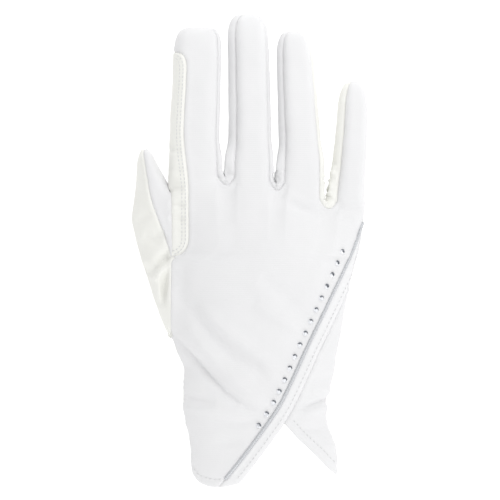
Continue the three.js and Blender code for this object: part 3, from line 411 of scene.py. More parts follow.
def finger_grid(finger, underside):
    """Rows of points up a finger's back or underside, from its forks to its tip."""
    columns = FINGER_COLUMNS[finger.name] + (STRIP_COLUMNS if finger is index else 0)
    place = fingers.index(finger)
    left_root = THUMB_FORK if finger is index else finger.fork + FORK_DEPTH
    right_root = (finger if finger is little else fingers[place + 1]).fork + FORK_DEPTH
    rows = []
    for along in finger_rows(finger):
        at_tip = along >= 1
        left_height, right_height = mix(left_root, finger.tip, along), mix(right_root, finger.tip, along)
        left, right = finger.shape(left_height), finger.shape(right_height)
        on_palm = underside and not at_tip
        left_in = PALMAR_SEAM if on_palm else finger.seam_left
        right_in = PALMAR_SEAM if on_palm and finger is not little else finger.seam_right
        left_x = left["left"] + left_in * (left["right"] - left["left"])
        right_x = right["right"] - right_in * (right["right"] - right["left"])
        strip_share = strip_wide(along) / max(right_x - left_x, LEAST_WIDTH)
        row = []
        for column in range(columns + 1):
            share = column / columns
            if finger is index and (at_tip or not underside):
                wide = 0 if at_tip else strip_share
                if column <= STRIP_COLUMNS:
                    share = wide * column / STRIP_COLUMNS
                else:
                    share = mix(wide, 1, (column - STRIP_COLUMNS) / (columns - STRIP_COLUMNS))
            height = mix(left_height, right_height, share)
            here = finger.shape(height)
            bow = abs(2 * share - 1)
            if underside:
                right_z = right["edge"] if finger is little else right["palmar"]
                rim = ease(bow, UNDER_FLAT, 1)
                z = here["under"] + (mix(left["palmar"], right_z, share) - here["under"]) * rim * rim
            else:
                right_z = right["edge"] if finger is little else right["dorsal"]
                seams = mix(left["dorsal"], right_z, share)
                z = seams + (here["ridge"] - seams) * (1 - bow ** FINGER_CROWN[0]) ** FINGER_CROWN[1]
            row.append((mix(left_x, right_x, share), height, TIP_HEIGHT if at_tip else z))
        rows.append(row)
    return rows


def fork_points(left_end, right_end, bottom_height, bottom_z):
    """The round of a seam between two fingers."""
    points = []
    for step in range(1, FORK_COLUMNS):
        turn = math.pi * step / FORK_COLUMNS
        share, dip = (1 - math.cos(turn)) / 2, math.sin(turn)
        x, y, z = (mix(left_end[axis], right_end[axis], share) for axis in range(3))
        points.append((x, mix(y, bottom_height, dip), mix(z, bottom_z, dip)))
    return points


backs = [finger_grid(finger, False) for finger in fingers]
unders = [finger_grid(finger, True) for finger in fingers]


def root_row(grids, fork_z):
    """The row in which the fingers and forks meet the hand."""
    row = []
    for place, finger in enumerate(fingers):
        if place:
            row += fork_points(row[-1], grids[place][0][0], finger.fork, fork_z)
        row += grids[place][0]
    return row


KNUCKLE_REACH = 13.0
PAST_HEM = -3.0  # the shell runs on past the hem, which is cut later
HAND_STOPS = [("strip", STRIP_END, 46), ("thumb", THUMB_BASE, 50), ("hem", PAST_HEM, 96)]
THUMB_REST_UNDER, THUMB_REST_OVER = 0.35, 0.55  # how soon the thumb's base reaches its full depth
HAND_RIM, JOINED_RIM = 0.87, 0.9  # share of the width at which the underside starts to turn up
HAND_CROWN = (2.4, 0.7)
COLUMN_EVENNESS = 0.5  # how far the columns even out below the strip


def hand_point(height, across, root, underside):
    """A point of the hand at a height and a share of its width, blended into the row that it hangs from."""
    up = height / HAND_LENGTH
    bow = abs(2 * across - 1)
    joined = height > THUMB_BASE
    fade = ease(root[1] - height, 0, KNUCKLE_REACH)
    if underside:
        rest = ease(height, THUMB_BASE, mix(THUMB_BASE, THUMB_FORK, THUMB_REST_UNDER))
        left_z = mix(EDGE_HEIGHT, THUMB_PALMAR_RISE, rest) if joined else EDGE_HEIGHT
        left_rim = ease(1 - across, JOINED_RIM if joined else HAND_RIM, 1)
        right_rim = ease(across, HAND_RIM, 1)
        z = left_z * left_rim**2 + EDGE_HEIGHT * right_rim**2
    else:
        rest = ease(height, THUMB_BASE, mix(THUMB_BASE, THUMB_FORK, THUMB_REST_OVER))
        left_z = mix(EDGE_HEIGHT, THUMB_SEAM_SHARE * THUMB_THICK, rest) if joined else EDGE_HEIGHT
        edges = mix(left_z, EDGE_HEIGHT, across)
        z = edges + (read(HAND_THICK, 1, up) - edges) * (1 - bow ** HAND_CROWN[0]) ** HAND_CROWN[1]
    return (mix(hand_left(height), hand_right(height), across), height, mix(root[2], z, fade))


def hand_grid(roots, underside):
    """Rows of points down the hand's back or underside, from the fingers to past the hem."""
    span = roots[-1][0] - roots[0][0]
    spread = [(root[0] - roots[0][0]) / span for root in roots]
    first = spread[STRIP_COLUMNS]
    rows, start = [roots], None
    for stop, low, count in HAND_STOPS:
        for step in range(1, count + 1):
            row = []
            for column, root in enumerate(roots):
                height = mix(root[1] if start is None else start, low, step / count)
                strip = strip_on_hand(height) * STRIP_WIDTH / (hand_right(height) - hand_left(height))
                if column <= STRIP_COLUMNS:
                    across = strip * column / STRIP_COLUMNS
                else:
                    even = (column - STRIP_COLUMNS) / (len(roots) - 1 - STRIP_COLUMNS)
                    place = spread[column] if stop == "strip" else mix(spread[column], even, COLUMN_EVENNESS)
                    across = strip + (place - first) / (1 - first) * (1 - strip)
                row.append(hand_point(height, limit(across), root, underside))
            rows.append(row)
        start = low
    return rows


hand_back = hand_grid(root_row(backs, FORK_SEAM_HEIGHT), False)
hand_under = hand_grid(root_row(unders, PALMAR_SEAM_HEIGHT), True)
thumb_from = HAND_STOPS[0][2] + HAND_STOPS[1][2]
for number, row in enumerate(hand_under):
    row[-1] = hand_back[number][-1]
    if number >= thumb_from:
        row[0] = hand_back[number][0]
for place, under in enumerate(unders):
    under[-1] = backs[place][-1]
    if fingers[place] is little:
        for number, row in enumerate(under):
            row[-1] = backs[place][number][-1]
hand_under[0] = root_row(unders, PALMAR_SEAM_HEIGHT)
hand_back.reverse()
hand_under.reverse()
add_grid(hand_back, lambda row, column: "index_strip" if column < STRIP_COLUMNS else "back_panel")
add_grid(mirrored(hand_under), lambda row, column: "palm_panel")
for place, finger in enumerate(fingers):
    strip_until = STRIP_COLUMNS if finger is index else 0
    add_grid(
        backs[place],
        lambda row, column, until=strip_until: "index_strip" if column < until else "back_panel",
    )
    add_grid(mirrored(unders[place]), lambda row, column: "palm_panel")

# The thumb's rows follow the hand's up to the fork, and then its own up to the tip.
LEATHER_COLUMNS, STRETCH_COLUMNS = 24, 16
THUMB_TIP_ROWS = 32
THUMB_ROW_CROWDING = 1.35
THUMB_PALMAR_SEAM, THUMB_DORSAL_SEAM = 0.12, 0.06
hem_rows = HAND_STOPS[2][2]
thumb_rows = [
    (hand_back[number][0][1], hand_back[number][0], hand_under[number][0])
    for number in range(hem_rows, len(hand_back))
]
for step in range(1, THUMB_TIP_ROWS + 1):
    height = mix(THUMB_FORK, THUMB_TIP, 1 - (1 - step / THUMB_TIP_ROWS) ** THUMB_ROW_CROWDING)
    here = thumb_shape(height)
    tip = step == THUMB_TIP_ROWS
    inner = mix(here["inner"], here["outer"], 0 if tip else THUMB_DORSAL_SEAM)
    under_x = mix(here["inner"], here["outer"], 0 if tip else THUMB_PALMAR_SEAM)
    thumb_rows.append((height, (inner, height, here["dorsal"]), (under_x, height, here["palmar"])))


def thumb_row(height, back, under, underside):
    """One row across the thumb, from its outline to where it meets the hand or its inner seam."""
    here = thumb_shape(height)
    inner = under if underside else back
    columns = LEATHER_COLUMNS + STRETCH_COLUMNS
    if height <= THUMB_BASE + NEARLY:
        return [inner] * (columns + 1)
    outer = (min(here["outer"], inner[0]), height, here["edge"])
    seam_share = limit((here["seam"] - outer[0]) / max(inner[0] - outer[0], NEARLY))
    row = []
    for column in range(columns + 1):
        if column <= LEATHER_COLUMNS:
            share = seam_share * column / LEATHER_COLUMNS
        else:
            share = mix(seam_share, 1, (column - LEATHER_COLUMNS) / STRETCH_COLUMNS)
        bow = abs(2 * share - 1)
        x, y, z = (mix(outer[axis], inner[axis], share) for axis in range(3))
        if underside:
            z = mix(here["under"], z, ease(bow, THUMB_UNDER_FLAT, 1) ** 2)
        else:
            z += here["crown"] * (1 - bow ** THUMB_CROWN[0]) ** THUMB_CROWN[1]
        row.append((x, y, THUMB_TIP_HEIGHT if height >= THUMB_TIP - NEARLY else z))
    return row


thumb_back = [thumb_row(*row, False) for row in thumb_rows]
thumb_under = [thumb_row(*row, True) for row in thumb_rows]
for number, row in enumerate(thumb_under):
    row[0] = thumb_back[number][0]
thumb_under[-1] = thumb_back[-1]
add_grid(thumb_back, lambda row, column: "thumb_leather" if column < LEATHER_COLUMNS else "thumb_fabric")
add_grid(mirrored(thumb_under), lambda row, column: "thumb_leather")

# The strips between the fingers, from one fingertip down round the fork and up to the next.
WALL_STEPS = 14
CLOSED_FROM, CLOSED_TO = 13.0, 24.0  # mm above a fork over which its two strips part
LEAST_PARTING = 0.12
BULGE_LEAN = 0.62  # below 1 the strip bulges most near its upper seam
HAMMOCK_LEAN = 2.3  # how much longer a strip stays up near its upper seam close to the fork
TIP_CLOSING = 2.0  # mm below a tip over which the bulge runs out


def side_points(grid, side):
    """A grid's left or right side, from its tip down."""
    return [row[0 if side == "left" else -1] for row in grid][::-1]


def add_wall(dorsal, palmar, bulges, panel_of, hammocks=None):
    """The strip between an upper and a lower seam, bulging away from the finger by so much at each point."""
    path = []
    for step, (top, bottom) in enumerate(zip(dorsal, palmar)):
        before, after = dorsal[max(step - 1, 0)], dorsal[min(step + 1, len(dorsal) - 1)]
        run = Vector((after[0] - before[0], after[1] - before[1]))
        run.normalize()
        points = []
        for part in range(WALL_STEPS + 1):
            share = part / WALL_STEPS
            hammock = hammocks[step] if hammocks else 0.0
            x, y, _ = (mix(top[axis], bottom[axis], share) for axis in range(3))
            z = mix(top[2], bottom[2], share ** mix(1, HAMMOCK_LEAN, hammock))
            out = bulges[step] * math.sin(math.pi * share**BULGE_LEAN)
            points.append((x - run.y * out, y + run.x * out, z))
        path.append(points)
    add_grid([[points[part] for points in path] for part in range(WALL_STEPS + 1)], panel_of)


def wall_bulge(finger, side, top, bottom, gap):
    """How far a strip bulges at one place, and how much it hangs like a hammock there."""
    here = finger.shape(top[1])
    middle_x = (top[0] + bottom[0]) / 2
    reach = middle_x - here["left"] if side == "left" else here["right"] - middle_x
    closed = 1 - ease(top[1] - finger.fork, CLOSED_FROM, CLOSED_TO) if gap else 0.0
    reach += (gap / 2 - LEAST_PARTING) * closed if gap else 0.0
    return max(0.0, reach) * ease(finger.tip - top[1], 0, TIP_CLOSING), closed


for place in range(1, 4):
    finger, before = fingers[place], fingers[place - 1]
    tops = side_points(backs[place - 1], "right"), side_points(backs[place], "left")[::-1]
    lows = side_points(unders[place - 1], "right"), side_points(unders[place], "left")[::-1]
    fork_top = fork_points(tops[0][-1], tops[1][0], finger.fork, FORK_SEAM_HEIGHT)
    fork_low = fork_points(lows[0][-1], lows[1][0], finger.fork, PALMAR_SEAM_HEIGHT)
    shapes = [wall_bulge(before, "right", *ends, finger.gap) for ends in zip(tops[0], lows[0])]
    fork_bulge = (tops[1][0][0] - tops[0][-1][0]) / 2 - LEAST_PARTING
    shapes += [(fork_bulge, 1.0)] * len(fork_top)
    shapes += [wall_bulge(finger, "left", *ends, finger.gap) for ends in zip(tops[1], lows[1])]
    name = f"fourchette_{before.name}_{finger.name}"
    add_wall(
        tops[0] + fork_top + tops[1],
        lows[0] + fork_low + lows[1],
        [shape[0] for shape in shapes],
        lambda row, column, name=name: name,
        [shape[1] for shape in shapes],
    )

thumb_top = side_points(thumb_back[-THUMB_TIP_ROWS - 1 :], "right")
thumb_low = side_points(thumb_under[-THUMB_TIP_ROWS - 1 :], "right")
index_top = side_points(backs[0], "left")[::-1][1:]
index_low = side_points(unders[0], "left")[::-1][1:]
bulges = []
for top, low in zip(thumb_top[:-1], thumb_low[:-1]):
    reach = thumb_shape(top[1])["inner"] - (top[0] + low[0]) / 2
    bulges.append(max(0.0, reach) * ease(THUMB_TIP - top[1], 0, TIP_CLOSING))
bulges += [0.0] + [wall_bulge(index, "left", *ends, 0)[0] for ends in zip(index_top, index_low)]
strip_rows = next(number for number, along in enumerate(finger_rows(index)) if strip_on_finger(along) == 0)


def crotch_panel(row, column):
    if column < THUMB_TIP_ROWS:
        return "thumb_fabric"
    return "index_strip" if column - THUMB_TIP_ROWS < strip_rows else "back_panel"


add_wall(thumb_top + index_top, thumb_low + index_low, bulges, crotch_panel)
points = np.array(skin_points) + np.array([*SHIFT, 0.0])

# Cutting and handling soften every ridge of the pattern a little.
SOFTEN_ROUNDS, SOFTEN_STEP = 6, 0.5
TINY, LEAST_LENGTH = 1e-12, 1e-9  # for divisions by an area and by a length that may be nought


def edges_of(faces):
    """Both ends of every edge, once each way that a face walks it."""
    starts, ends = [], []
    for face in faces:
        starts += face
        ends += face[1:] + face[:1]
    return np.array(starts), np.array(ends)


starts, ends = edges_of(skin_faces)
neighbours = np.bincount(starts, minlength=len(points)) + np.bincount(ends, minlength=len(points))
walked = {(start, end) for start, end in zip(starts.tolist(), ends.tolist())}
open_ends = np.zeros(len(points), dtype=bool)
for start, end in walked:
    if (end, start) not in walked:
        open_ends[[start, end]] = True
for _ in range(SOFTEN_ROUNDS):
    total = np.zeros_like(points)
    np.add.at(total, starts, points[ends])
    np.add.at(total, ends, points[starts])
    mean = total / np.maximum(neighbours, 1)[:, None]
    mean[open_ends] = points[open_ends]
    points += SOFTEN_STEP * (mean - points)


def normals_of(places, faces):
    """Outward direction at each point, from the faces round it."""
    direction = np.zeros_like(places)
    by_size = {}
    for face in faces:
        by_size.setdefault(len(face), []).append(face)
    for size, group in by_size.items():
        ring_of = np.array(group)
        across = np.zeros((len(group), 3))
        first = places[ring_of[:, 0]]
        for step in range(1, size - 1):
            across += np.cross(places[ring_of[:, step]] - first, places[ring_of[:, step + 1]] - first)
        for column in range(size):
            np.add.at(direction, ring_of[:, column], across)
    direction /= np.maximum(np.linalg.norm(direction, axis=1), TINY)[:, None]
    starts, ends = edges_of(faces)
    total = direction.copy()
    np.add.at(total, starts, direction[ends])
    np.add.at(total, ends, direction[starts])
    return total / np.maximum(np.linalg.norm(total, axis=1), TINY)[:, None]


normals = normals_of(points, skin_faces)

# The cloth is pulled straight over the knuckles and from the thumb on to the hand, so its height runs
# smoothly there. The thumb is joined to the hand by its leather and its stretch half.
JOIN_REACH, PULL_ROUNDS, PULL_STEP = 4.2, 420, 0.7
JOIN_FOOT = (2.0, 7.0)  # mm above the join's foot over which the pull sets in
KNUCKLE_BAND = (-2.0, 3.0, 20.0, 40.0)  # mm below the line through the forks: where it sets in and ends
UPPER_SIDE = (0.1, 0.4)  # how far the cloth faces up where it starts to count as upper side


def panels_round(faces, panels):
    """For each point, the names of the panels that it belongs to."""
    names_at = {}
    for face, panel in zip(faces, panels):
        for number in face:
            names_at.setdefault(number, set()).add(panel)
    return names_at


skin_names = panels_round(skin_faces, skin_panels)
thumb_joins = [{"thumb_fabric", "index_strip"}, {"thumb_leather", "back_panel"}]
join = points[[number for number, names in skin_names.items() if any(pair <= names for pair in thumb_joins)]]
join = join[join[:, 1].argsort()]
past_end = np.maximum(0, np.maximum(join[0, 1] - points[:, 1], points[:, 1] - join[-1, 1]))
join_away = np.hypot(points[:, 0] - np.interp(points[:, 1], join[:, 1], join[:, 0]), past_end)
fork_x = [finger.left - finger.gap / 2 + SHIFT[0] for finger in fingers[1:]]
fork_y = [finger.fork + SHIFT[1] for finger in fingers[1:]]
drop = np.interp(points[:, 0], fork_x, fork_y) - points[:, 1]
smooth_step = np.vectorize(ease)
knuckles = smooth_step(drop, *KNUCKLE_BAND[:2]) * (1 - smooth_step(drop, *KNUCKLE_BAND[2:]))
pulled = np.maximum(np.exp(-((join_away / JOIN_REACH) ** 4)), knuckles)
pulled *= smooth_step(normals[:, 2], *UPPER_SIDE)
pulled[open_ends] = 0
pulled *= smooth_step(points[:, 1] - join[0, 1], *JOIN_FOOT)
for _ in range(PULL_ROUNDS):
    total = np.bincount(starts, points[ends, 2], len(points))
    total += np.bincount(ends, points[starts, 2], len(points))
    points[:, 2] += PULL_STEP * pulled * (total / np.maximum(neighbours, 1) - points[:, 2])
normals = normals_of(points, skin_faces)

# Folds and creases
# Where the worn cloth has settled: a sharp crease from the thumb's base towards the piping, softer ones
# above it, ripples in the cuff, a knuckle fold and short wrinkles across the leather strip.
# Each fold: its rise (a valley is negative), half width, and the points that it follows, all in mm.
BACK_FOLDS = [
    (-1.8, 1.5, [(-36.8, -39.9), (-30.6, -48.0), (-22.0, -57.5), (-12.4, -67.1), (-5.7, -71.9), (0.5, -75.4),
                 (6.2, -77.6)]),
    (-1.3, 4.2, [(-36.8, -38.9), (-30.6, -47.0), (-22.0, -56.5), (-12.4, -66.1), (-3.7, -71.9)]),
    (1.4, 3.6, [(-31.0, -37.0), (-22.0, -47.0), (-10.0, -59.0), (1.0, -68.0), (8.0, -74.0)]),
    (-2.2, 3.8, [(-35.3, -18.4), (-29.6, -25.5), (-20.1, -37.5), (-10.0, -48.0), (1.9, -56.1),
                 (12.4, -70.4)]),
    (1.3, 3.4, [(-25.0, -25.9), (-13.5, -37.5), (-3.9, -44.2), (6.2, -50.9), (13.9, -58.5)]),
    (-1.0, 3.8, [(4.4, -13.4), (12.4, -18.4), (17.7, -23.2), (22.9, -27.5), (29.2, -33.2)]),
    (1.1, 3.2, [(2.9, -24.1), (10.0, -29.8), (18.6, -34.6), (24.0, -39.0)]),
    (-0.97, 2.1, [(-35.0, -68.6), (-27.0, -71.0), (-16.2, -72.2)]),
    (0.73, 2.1, [(-34.0, -73.6), (-25.0, -75.6), (-14.2, -76.6)]),
    (-0.81, 2.1, [(-18.9, -81.2), (-6.0, -82.0), (5.3, -81.5)]),
    (-0.57, 1.9, [(-16.0, -91.0), (-3.0, -91.6)]),
    (-1.4, 2.6, [(16.2, 24.1), (19.6, 22.2), (25.3, 19.8), (34.9, 17.0)]),
    (-0.73, 2.1, [(42.0, 15.5), (45.8, 14.6), (49.7, 13.6)]),
    (-0.65, 8.0, [(-2.9, 13.7), (-2.9, -6.0), (-6.0, -24.0)]),
    (-1.4, 1.3, [(22.4, -75.9), (26.7, -74.9), (31.5, -73.4), (41.0, -70.2)]),
    (0.97, 1.7, [(26.0, -78.2), (32.0, -76.4), (42.0, -73.4)]),
    (-0.97, 2.0, [(26.7, -61.8), (34.9, -62.3), (41.5, -61.5)]),
    (0.65, 2.2, [(29.7, -66.8), (35.9, -67.3), (41.5, -66.0)]),
    (-0.81, 2.4, [(31.0, -51.0), (38.0, -53.0), (44.0, -52.0)]),
    (-0.73, 2.0, [(22.0, -84.0), (32.0, -85.5), (40.0, -84.0)]),
    (0.81, 1.7, [(35.5, -91.0), (41.5, -94.0)]),
]
THUMB_FOLDS = [
    (-3.0, 2.4, [(-36.2, -0.2), (-40.1, -3.6), (-43.5, -6.9), (-48.5, -12.5)]),
    (1.4, 2.4, [(-39.0, -6.5), (-43.5, -11.0), (-46.0, -15.0)]),
    (-3.4, 2.3, [(-37.2, -8.2), (-40.0, -14.0), (-41.6, -21.0), (-42.0, -27.1)]),
    (-1.8, 3.2, [(-40.0, 8.0), (-46.0, 5.0), (-51.0, 7.0)]),
    (-1.2, 3.0, [(-41.0, -24.0), (-45.0, -18.0), (-50.0, -6.0)]),
    (-1.0, 2.4, [(-54.0, 13.0), (-47.0, 18.0)]),
]
STRIP_FOLDS = [
    (-1.0, 1.9, [(-38.5, 29.6), (-31.0, 29.2)]),
    (0.5, 1.6, [(-38.5, 25.6), (-31.0, 25.2)]),
    (-1.1, 1.9, [(-38.5, 21.6), (-30.0, 21.0)]),
    (0.6, 1.6, [(-38.5, 18.4), (-31.0, 17.8)]),
    (-1.1, 1.8, [(-38.5, 15.4), (-30.0, 14.4)]),
    (-0.7, 1.5, [(-38.5, 38.0), (-31.5, 38.4)]),
    (-0.7, 1.6, [(-39.0, 47.0), (-32.0, 47.2)]),
]
FOLD_FADE = 0.6  # the power with which a fold runs out towards both ends
FAR = 1e9


def fold_rise(places, folds):
    """How far the folds lift or sink each place, from its nearest point of each fold's line."""
    rise = np.zeros(len(places))
    for lift, reach, line in folds:
        line = np.array(line)
        lengths = np.linalg.norm(np.diff(line, axis=0), axis=1)
        passed = np.concatenate([[0], np.cumsum(lengths)])
        best, share = np.full(len(places), FAR), np.zeros(len(places))
        for number in range(len(line) - 1):
            run = line[number + 1] - line[number]
            along = np.clip(((places - line[number]) @ run) / (run @ run), 0, 1)
            away = np.linalg.norm(places - line[number] - along[:, None] * run, axis=1)
            nearer = away < best
            best[nearer] = away[nearer]
            share[nearer] = ((passed[number] + along * lengths[number]) / passed[-1])[nearer]
        fade = np.sin(np.pi * share) ** FOLD_FADE
        rise += lift * fade * np.exp(-((best / reach) ** 2))
    return rise


# A fold sets in as the cloth turns up: soon on the thumb, and already on the steep side of the strip.
BACK_SETS_IN, THUMB_SETS_IN, STRIP_STARTS = 0.45, 0.3, 0.6
JOIN_CLEAR = (0.4, 3.2)  # mm from the thumb's join over which its folds set in
back_rise = fold_rise(points[:, :2], BACK_FOLDS) * np.clip(normals[:, 2] / BACK_SETS_IN, 0, 1)
thumb_rise = fold_rise(points[:, :2], THUMB_FOLDS) * np.clip(normals[:, 2] / THUMB_SETS_IN, 0, 1)
thumb_rise *= smooth_step(join_away, *JOIN_CLEAR)
strip_share = np.clip(normals[:, 2] / THUMB_SETS_IN + STRIP_STARTS, 0, 1)
strip_rise = fold_rise(points[:, :2], STRIP_FOLDS) * strip_share
points += normals * (back_rise + thumb_rise + strip_rise)[:, None]


def unrest(place, grain, seed):
    """A smooth random height at a place, the same on every run."""
    return noise.noise(Vector((place[0] / grain + seed, place[1] / grain, place[2] / grain)))


# Height, grain and seed of the slack in the cloth; the table presses most of it out of the underside.
LONG_WAVE, SHORT_WAVE = (0.32, 13.0, 3.1), (0.1, 5.0, 8.7)
PRESSED_BELOW, PRESSED_SHARE = 1.0, 0.3
waves = np.zeros(len(points))
for high, grain, seed in (LONG_WAVE, SHORT_WAVE):
    waves += np.array([high * unrest(place, grain, seed) for place in points])
waves[points[:, 2] < PRESSED_BELOW] *= PRESSED_SHARE
points += normals * waves[:, None]
points[:, 2] = np.maximum(points[:, 2], 0.0)

# Cutting the panels
# The back is cut along the piping and along the facing tape, and the cuff along its hem, vent and tail.
# Height share up and share of the palm's width in from the little finger's side.
PIPING_WAY = [
    (0.96, -0.03), (0.88, 0.015), (0.83, 0.041), (0.779, 0.072), (0.706, 0.124), (0.645, 0.17),
    (0.555, 0.237), (0.465, 0.304), (0.388, 0.358), (0.331, 0.399), (0.281, 0.438), (0.231, 0.487),
    (0.177, 0.547), (0.12, 0.612), (0.06, 0.684), (0.0, 0.76),
]
PIPING_RADIUS = 0.75
BAND_WIDTH, PANEL_GAP = 5.4, 0.32
BAND_SETS_IN = (0.1, 0.35)  # shares of the piping over which the tape reaches its full width
VENT_HEIGHT, TAIL_HEIGHT = 31.0, 5.7
PAST_PIPING = 6.0
WAY_STEPS, WAY_ROUNDS = 700, 12
way_table = sorted(
    (up * HAND_LENGTH + SHIFT[1], PALM_RIGHT - inward * PALM_WIDTH + SHIFT[0]) for up, inward in PIPING_WAY
)
(way_low, low_x), (next_low, next_x), way_high = way_table[0], way_table[1], way_table[-1][0]
way_y = np.linspace(way_low - PAST_PIPING, way_high, WAY_STEPS)
way_x = np.array([read(way_table, 1, y) for y in way_y])
slope = (next_x - low_x) / (next_low - way_low)
below = way_y < way_low
way_x[below] = low_x + slope * (way_y[below] - way_low)
for _ in range(WAY_ROUNDS):
    way_x[1:-1] = (way_x[:-2] + 2 * way_x[1:-1] + way_x[2:]) / 4
tangent = np.stack([np.gradient(way_x, way_y), np.ones_like(way_y)], axis=1)
tangent /= np.linalg.norm(tangent, axis=1)[:, None]
way_share = (way_high - way_y) / (way_high - way_low)


def band_inset(share):
    """How far the tape's lower edge lies from the piping's middle."""
    return PIPING_RADIUS + PANEL_GAP + BAND_WIDTH * ease(share, *BAND_SETS_IN)


insets = np.array([band_inset(share) for share in way_share])
band_x, band_y = way_x + tangent[:, 1] * insets, way_y - tangent[:, 0] * insets


WELL_CLEAR = 20.0  # mm; above a line's end, a place counts as this far on the thumb's side


def beside_line(line_x, line_y, x, y):
    """How far a place lies on the thumb's side of a line that climbs to the right, in mm."""
    lean = np.interp(y, line_y, np.gradient(line_x, line_y))
    gap = (np.interp(y, line_y, line_x) - x) / np.sqrt(1 + lean**2)
    return np.where(y > line_y[-1], WELL_CLEAR, gap)


vent_number = int(np.argmin(np.abs(band_y - (VENT_HEIGHT + SHIFT[1]))))
vent = (band_x[vent_number], band_y[vent_number])


def cuff_place(height, across):
    """Where the cuff is at a height and a share of its width."""
    return mix(hand_left(height), hand_right(height), across) + SHIFT[0]


# The lobe by its height share and share of the width, and the tail by its share of the way down to its point.
LOBE = [(0.075, -0.3), (0.062, 0.0), (0.035, 0.01), (0.014, 0.04), (0.003, 0.1), (0.0, 0.155), (0.003, 0.22)]
TAIL = [(0, 0.715), (0.3, 0.77), (0.62, 0.86), (0.82, 0.92), (0.96, 0.975), (1.0, 1.0), (0.9, 1.3)]
LOBE_MEETS_BAND, HEM_STEP = 0.012, 0.5
BAND_STRIDE = 6  # every sixth point of the tape's edge is enough for the hem
hem_line = [(cuff_place(up * HAND_LENGTH, across), up * HAND_LENGTH + SHIFT[1]) for up, across in LOBE]
for x, y in zip(band_x[: vent_number + 1 : BAND_STRIDE], band_y[: vent_number + 1 : BAND_STRIDE]):
    if y - SHIFT[1] > LOBE_MEETS_BAND * HAND_LENGTH and x > hem_line[-1][0] + HEM_STEP:
        hem_line.append((x, y))
hem_line.append(vent)
vent_height = vent[1] - SHIFT[1]
tail_shift = vent[0] - cuff_place(vent_height, TAIL[0][1])
for down, across in TAIL[1:]:
    height = mix(vent_height, TAIL_HEIGHT, down)
    hem_line.append((cuff_place(height, across) + tail_shift * (1 - down), height + SHIFT[1]))
hem_line = np.array(hem_line)
HEM_STEPS, HEM_ROUNDS, VENT_CORNER = 900, 60, 0.6
soft_x = np.linspace(hem_line[0, 0], hem_line[-1, 0], HEM_STEPS)
soft_y = np.interp(soft_x, hem_line[:, 0], hem_line[:, 1])
kept = np.abs(soft_x - vent[0]) < VENT_CORNER
for _ in range(HEM_ROUNDS):
    blurred = (np.roll(soft_y, 1) + 2 * soft_y + np.roll(soft_y, -1)) / 4
    blurred[[0, -1]] = soft_y[[0, -1]]
    soft_y = np.where(kept, soft_y, blurred)
soft_lean = np.gradient(soft_y, soft_x)


def piping_side(x, y):
    return beside_line(way_x, way_y, x, y)


def band_side(x, y):
    return beside_line(band_x, band_y, x, y)


def above_hem(x, y):
    lean = np.interp(x, soft_x, soft_lean)
    return (y - np.interp(x, soft_x, soft_y)) / np.sqrt(1 + lean**2)


NEAR_CUT, ON_CUT = 0.2, 0.02  # mm: points this near are moved on to the line, and then count as on it
SLOPE_STEP, LEAST_SLOPE = 0.01, 0.05
SNAP_ROUNDS, HALVINGS = 2, 14


def cut(faces, panels, chosen, side_of, side_names):
    """Cuts the chosen panels' faces along a line; side_names are the panels left and right of it."""
    global points
    touched = np.zeros(len(points), dtype=bool)
    for face, panel in zip(faces, panels):
        if panel in chosen:
            touched[face] = True
    for _ in range(SNAP_ROUNDS):
        x, y = points[:, 0], points[:, 1]
        here = side_of(x, y)
        near = touched & (np.abs(here) < NEAR_CUT)
        slope_x = (side_of(x + SLOPE_STEP, y) - here) / SLOPE_STEP
        slope_y = (side_of(x, y + SLOPE_STEP) - here) / SLOPE_STEP
        size = np.maximum(slope_x**2 + slope_y**2, LEAST_SLOPE)
        points[near, 0] -= (here * slope_x / size)[near]
        points[near, 1] -= (here * slope_y / size)[near]
    here = side_of(points[:, 0], points[:, 1])
    here[np.abs(here) < ON_CUT] = 0
    fresh, made = [], {}

    def crossing(start, end):
        key = (min(start, end), max(start, end))
        if key not in made:
            low, high = 0.0, 1.0
            first, run = points[key[0]], points[key[1]] - points[key[0]]
            for _ in range(HALVINGS):
                half = (low + high) / 2
                place = first + run * half
                if (float(side_of(place[0], place[1])) > 0) == (here[key[0]] > 0):
                    low = half
                else:
                    high = half
            made[key] = len(points) + len(fresh)
            fresh.append(first + run * (low + high) / 2)
        return made[key]

    new_faces, new_panels = [], []
    for face, panel in zip(faces, panels):
        if panel not in chosen:
            new_faces.append(face)
            new_panels.append(panel)
            continue
        sides = here[face]
        if sides.max() <= 0 or sides.min() >= 0:
            name = side_names[0] if sides.max() > 0 else side_names[1]
            name = panel if name == "same" else name
            if name:
                new_faces.append(face)
                new_panels.append(name)
            continue
        for sign, name in ((1, side_names[0]), (-1, side_names[1])):
            if not name:
                continue
            part = []
            for place, number in enumerate(face):
                following = face[(place + 1) % len(face)]
                if here[number] * sign >= 0:
                    part.append(number)
                if here[number] * here[following] < 0:
                    part.append(crossing(number, following))
            if len(part) >= 3:
                new_faces.append(part)
                new_panels.append(panel if name == "same" else name)
    if fresh:
        points = np.vstack([points, np.array(fresh)])
    return new_faces, new_panels


faces, panels = cut(skin_faces, skin_panels, {"back_panel"}, piping_side, ("back_panel", "beside_piping"))
faces, panels = cut(faces, panels, {"beside_piping"}, band_side, ("facing_band", "side_panel"))
at_cuff = {"back_panel", "facing_band", "side_panel", "palm_panel"}
faces, panels = cut(faces, panels, at_cuff, above_hem, ("same", None))


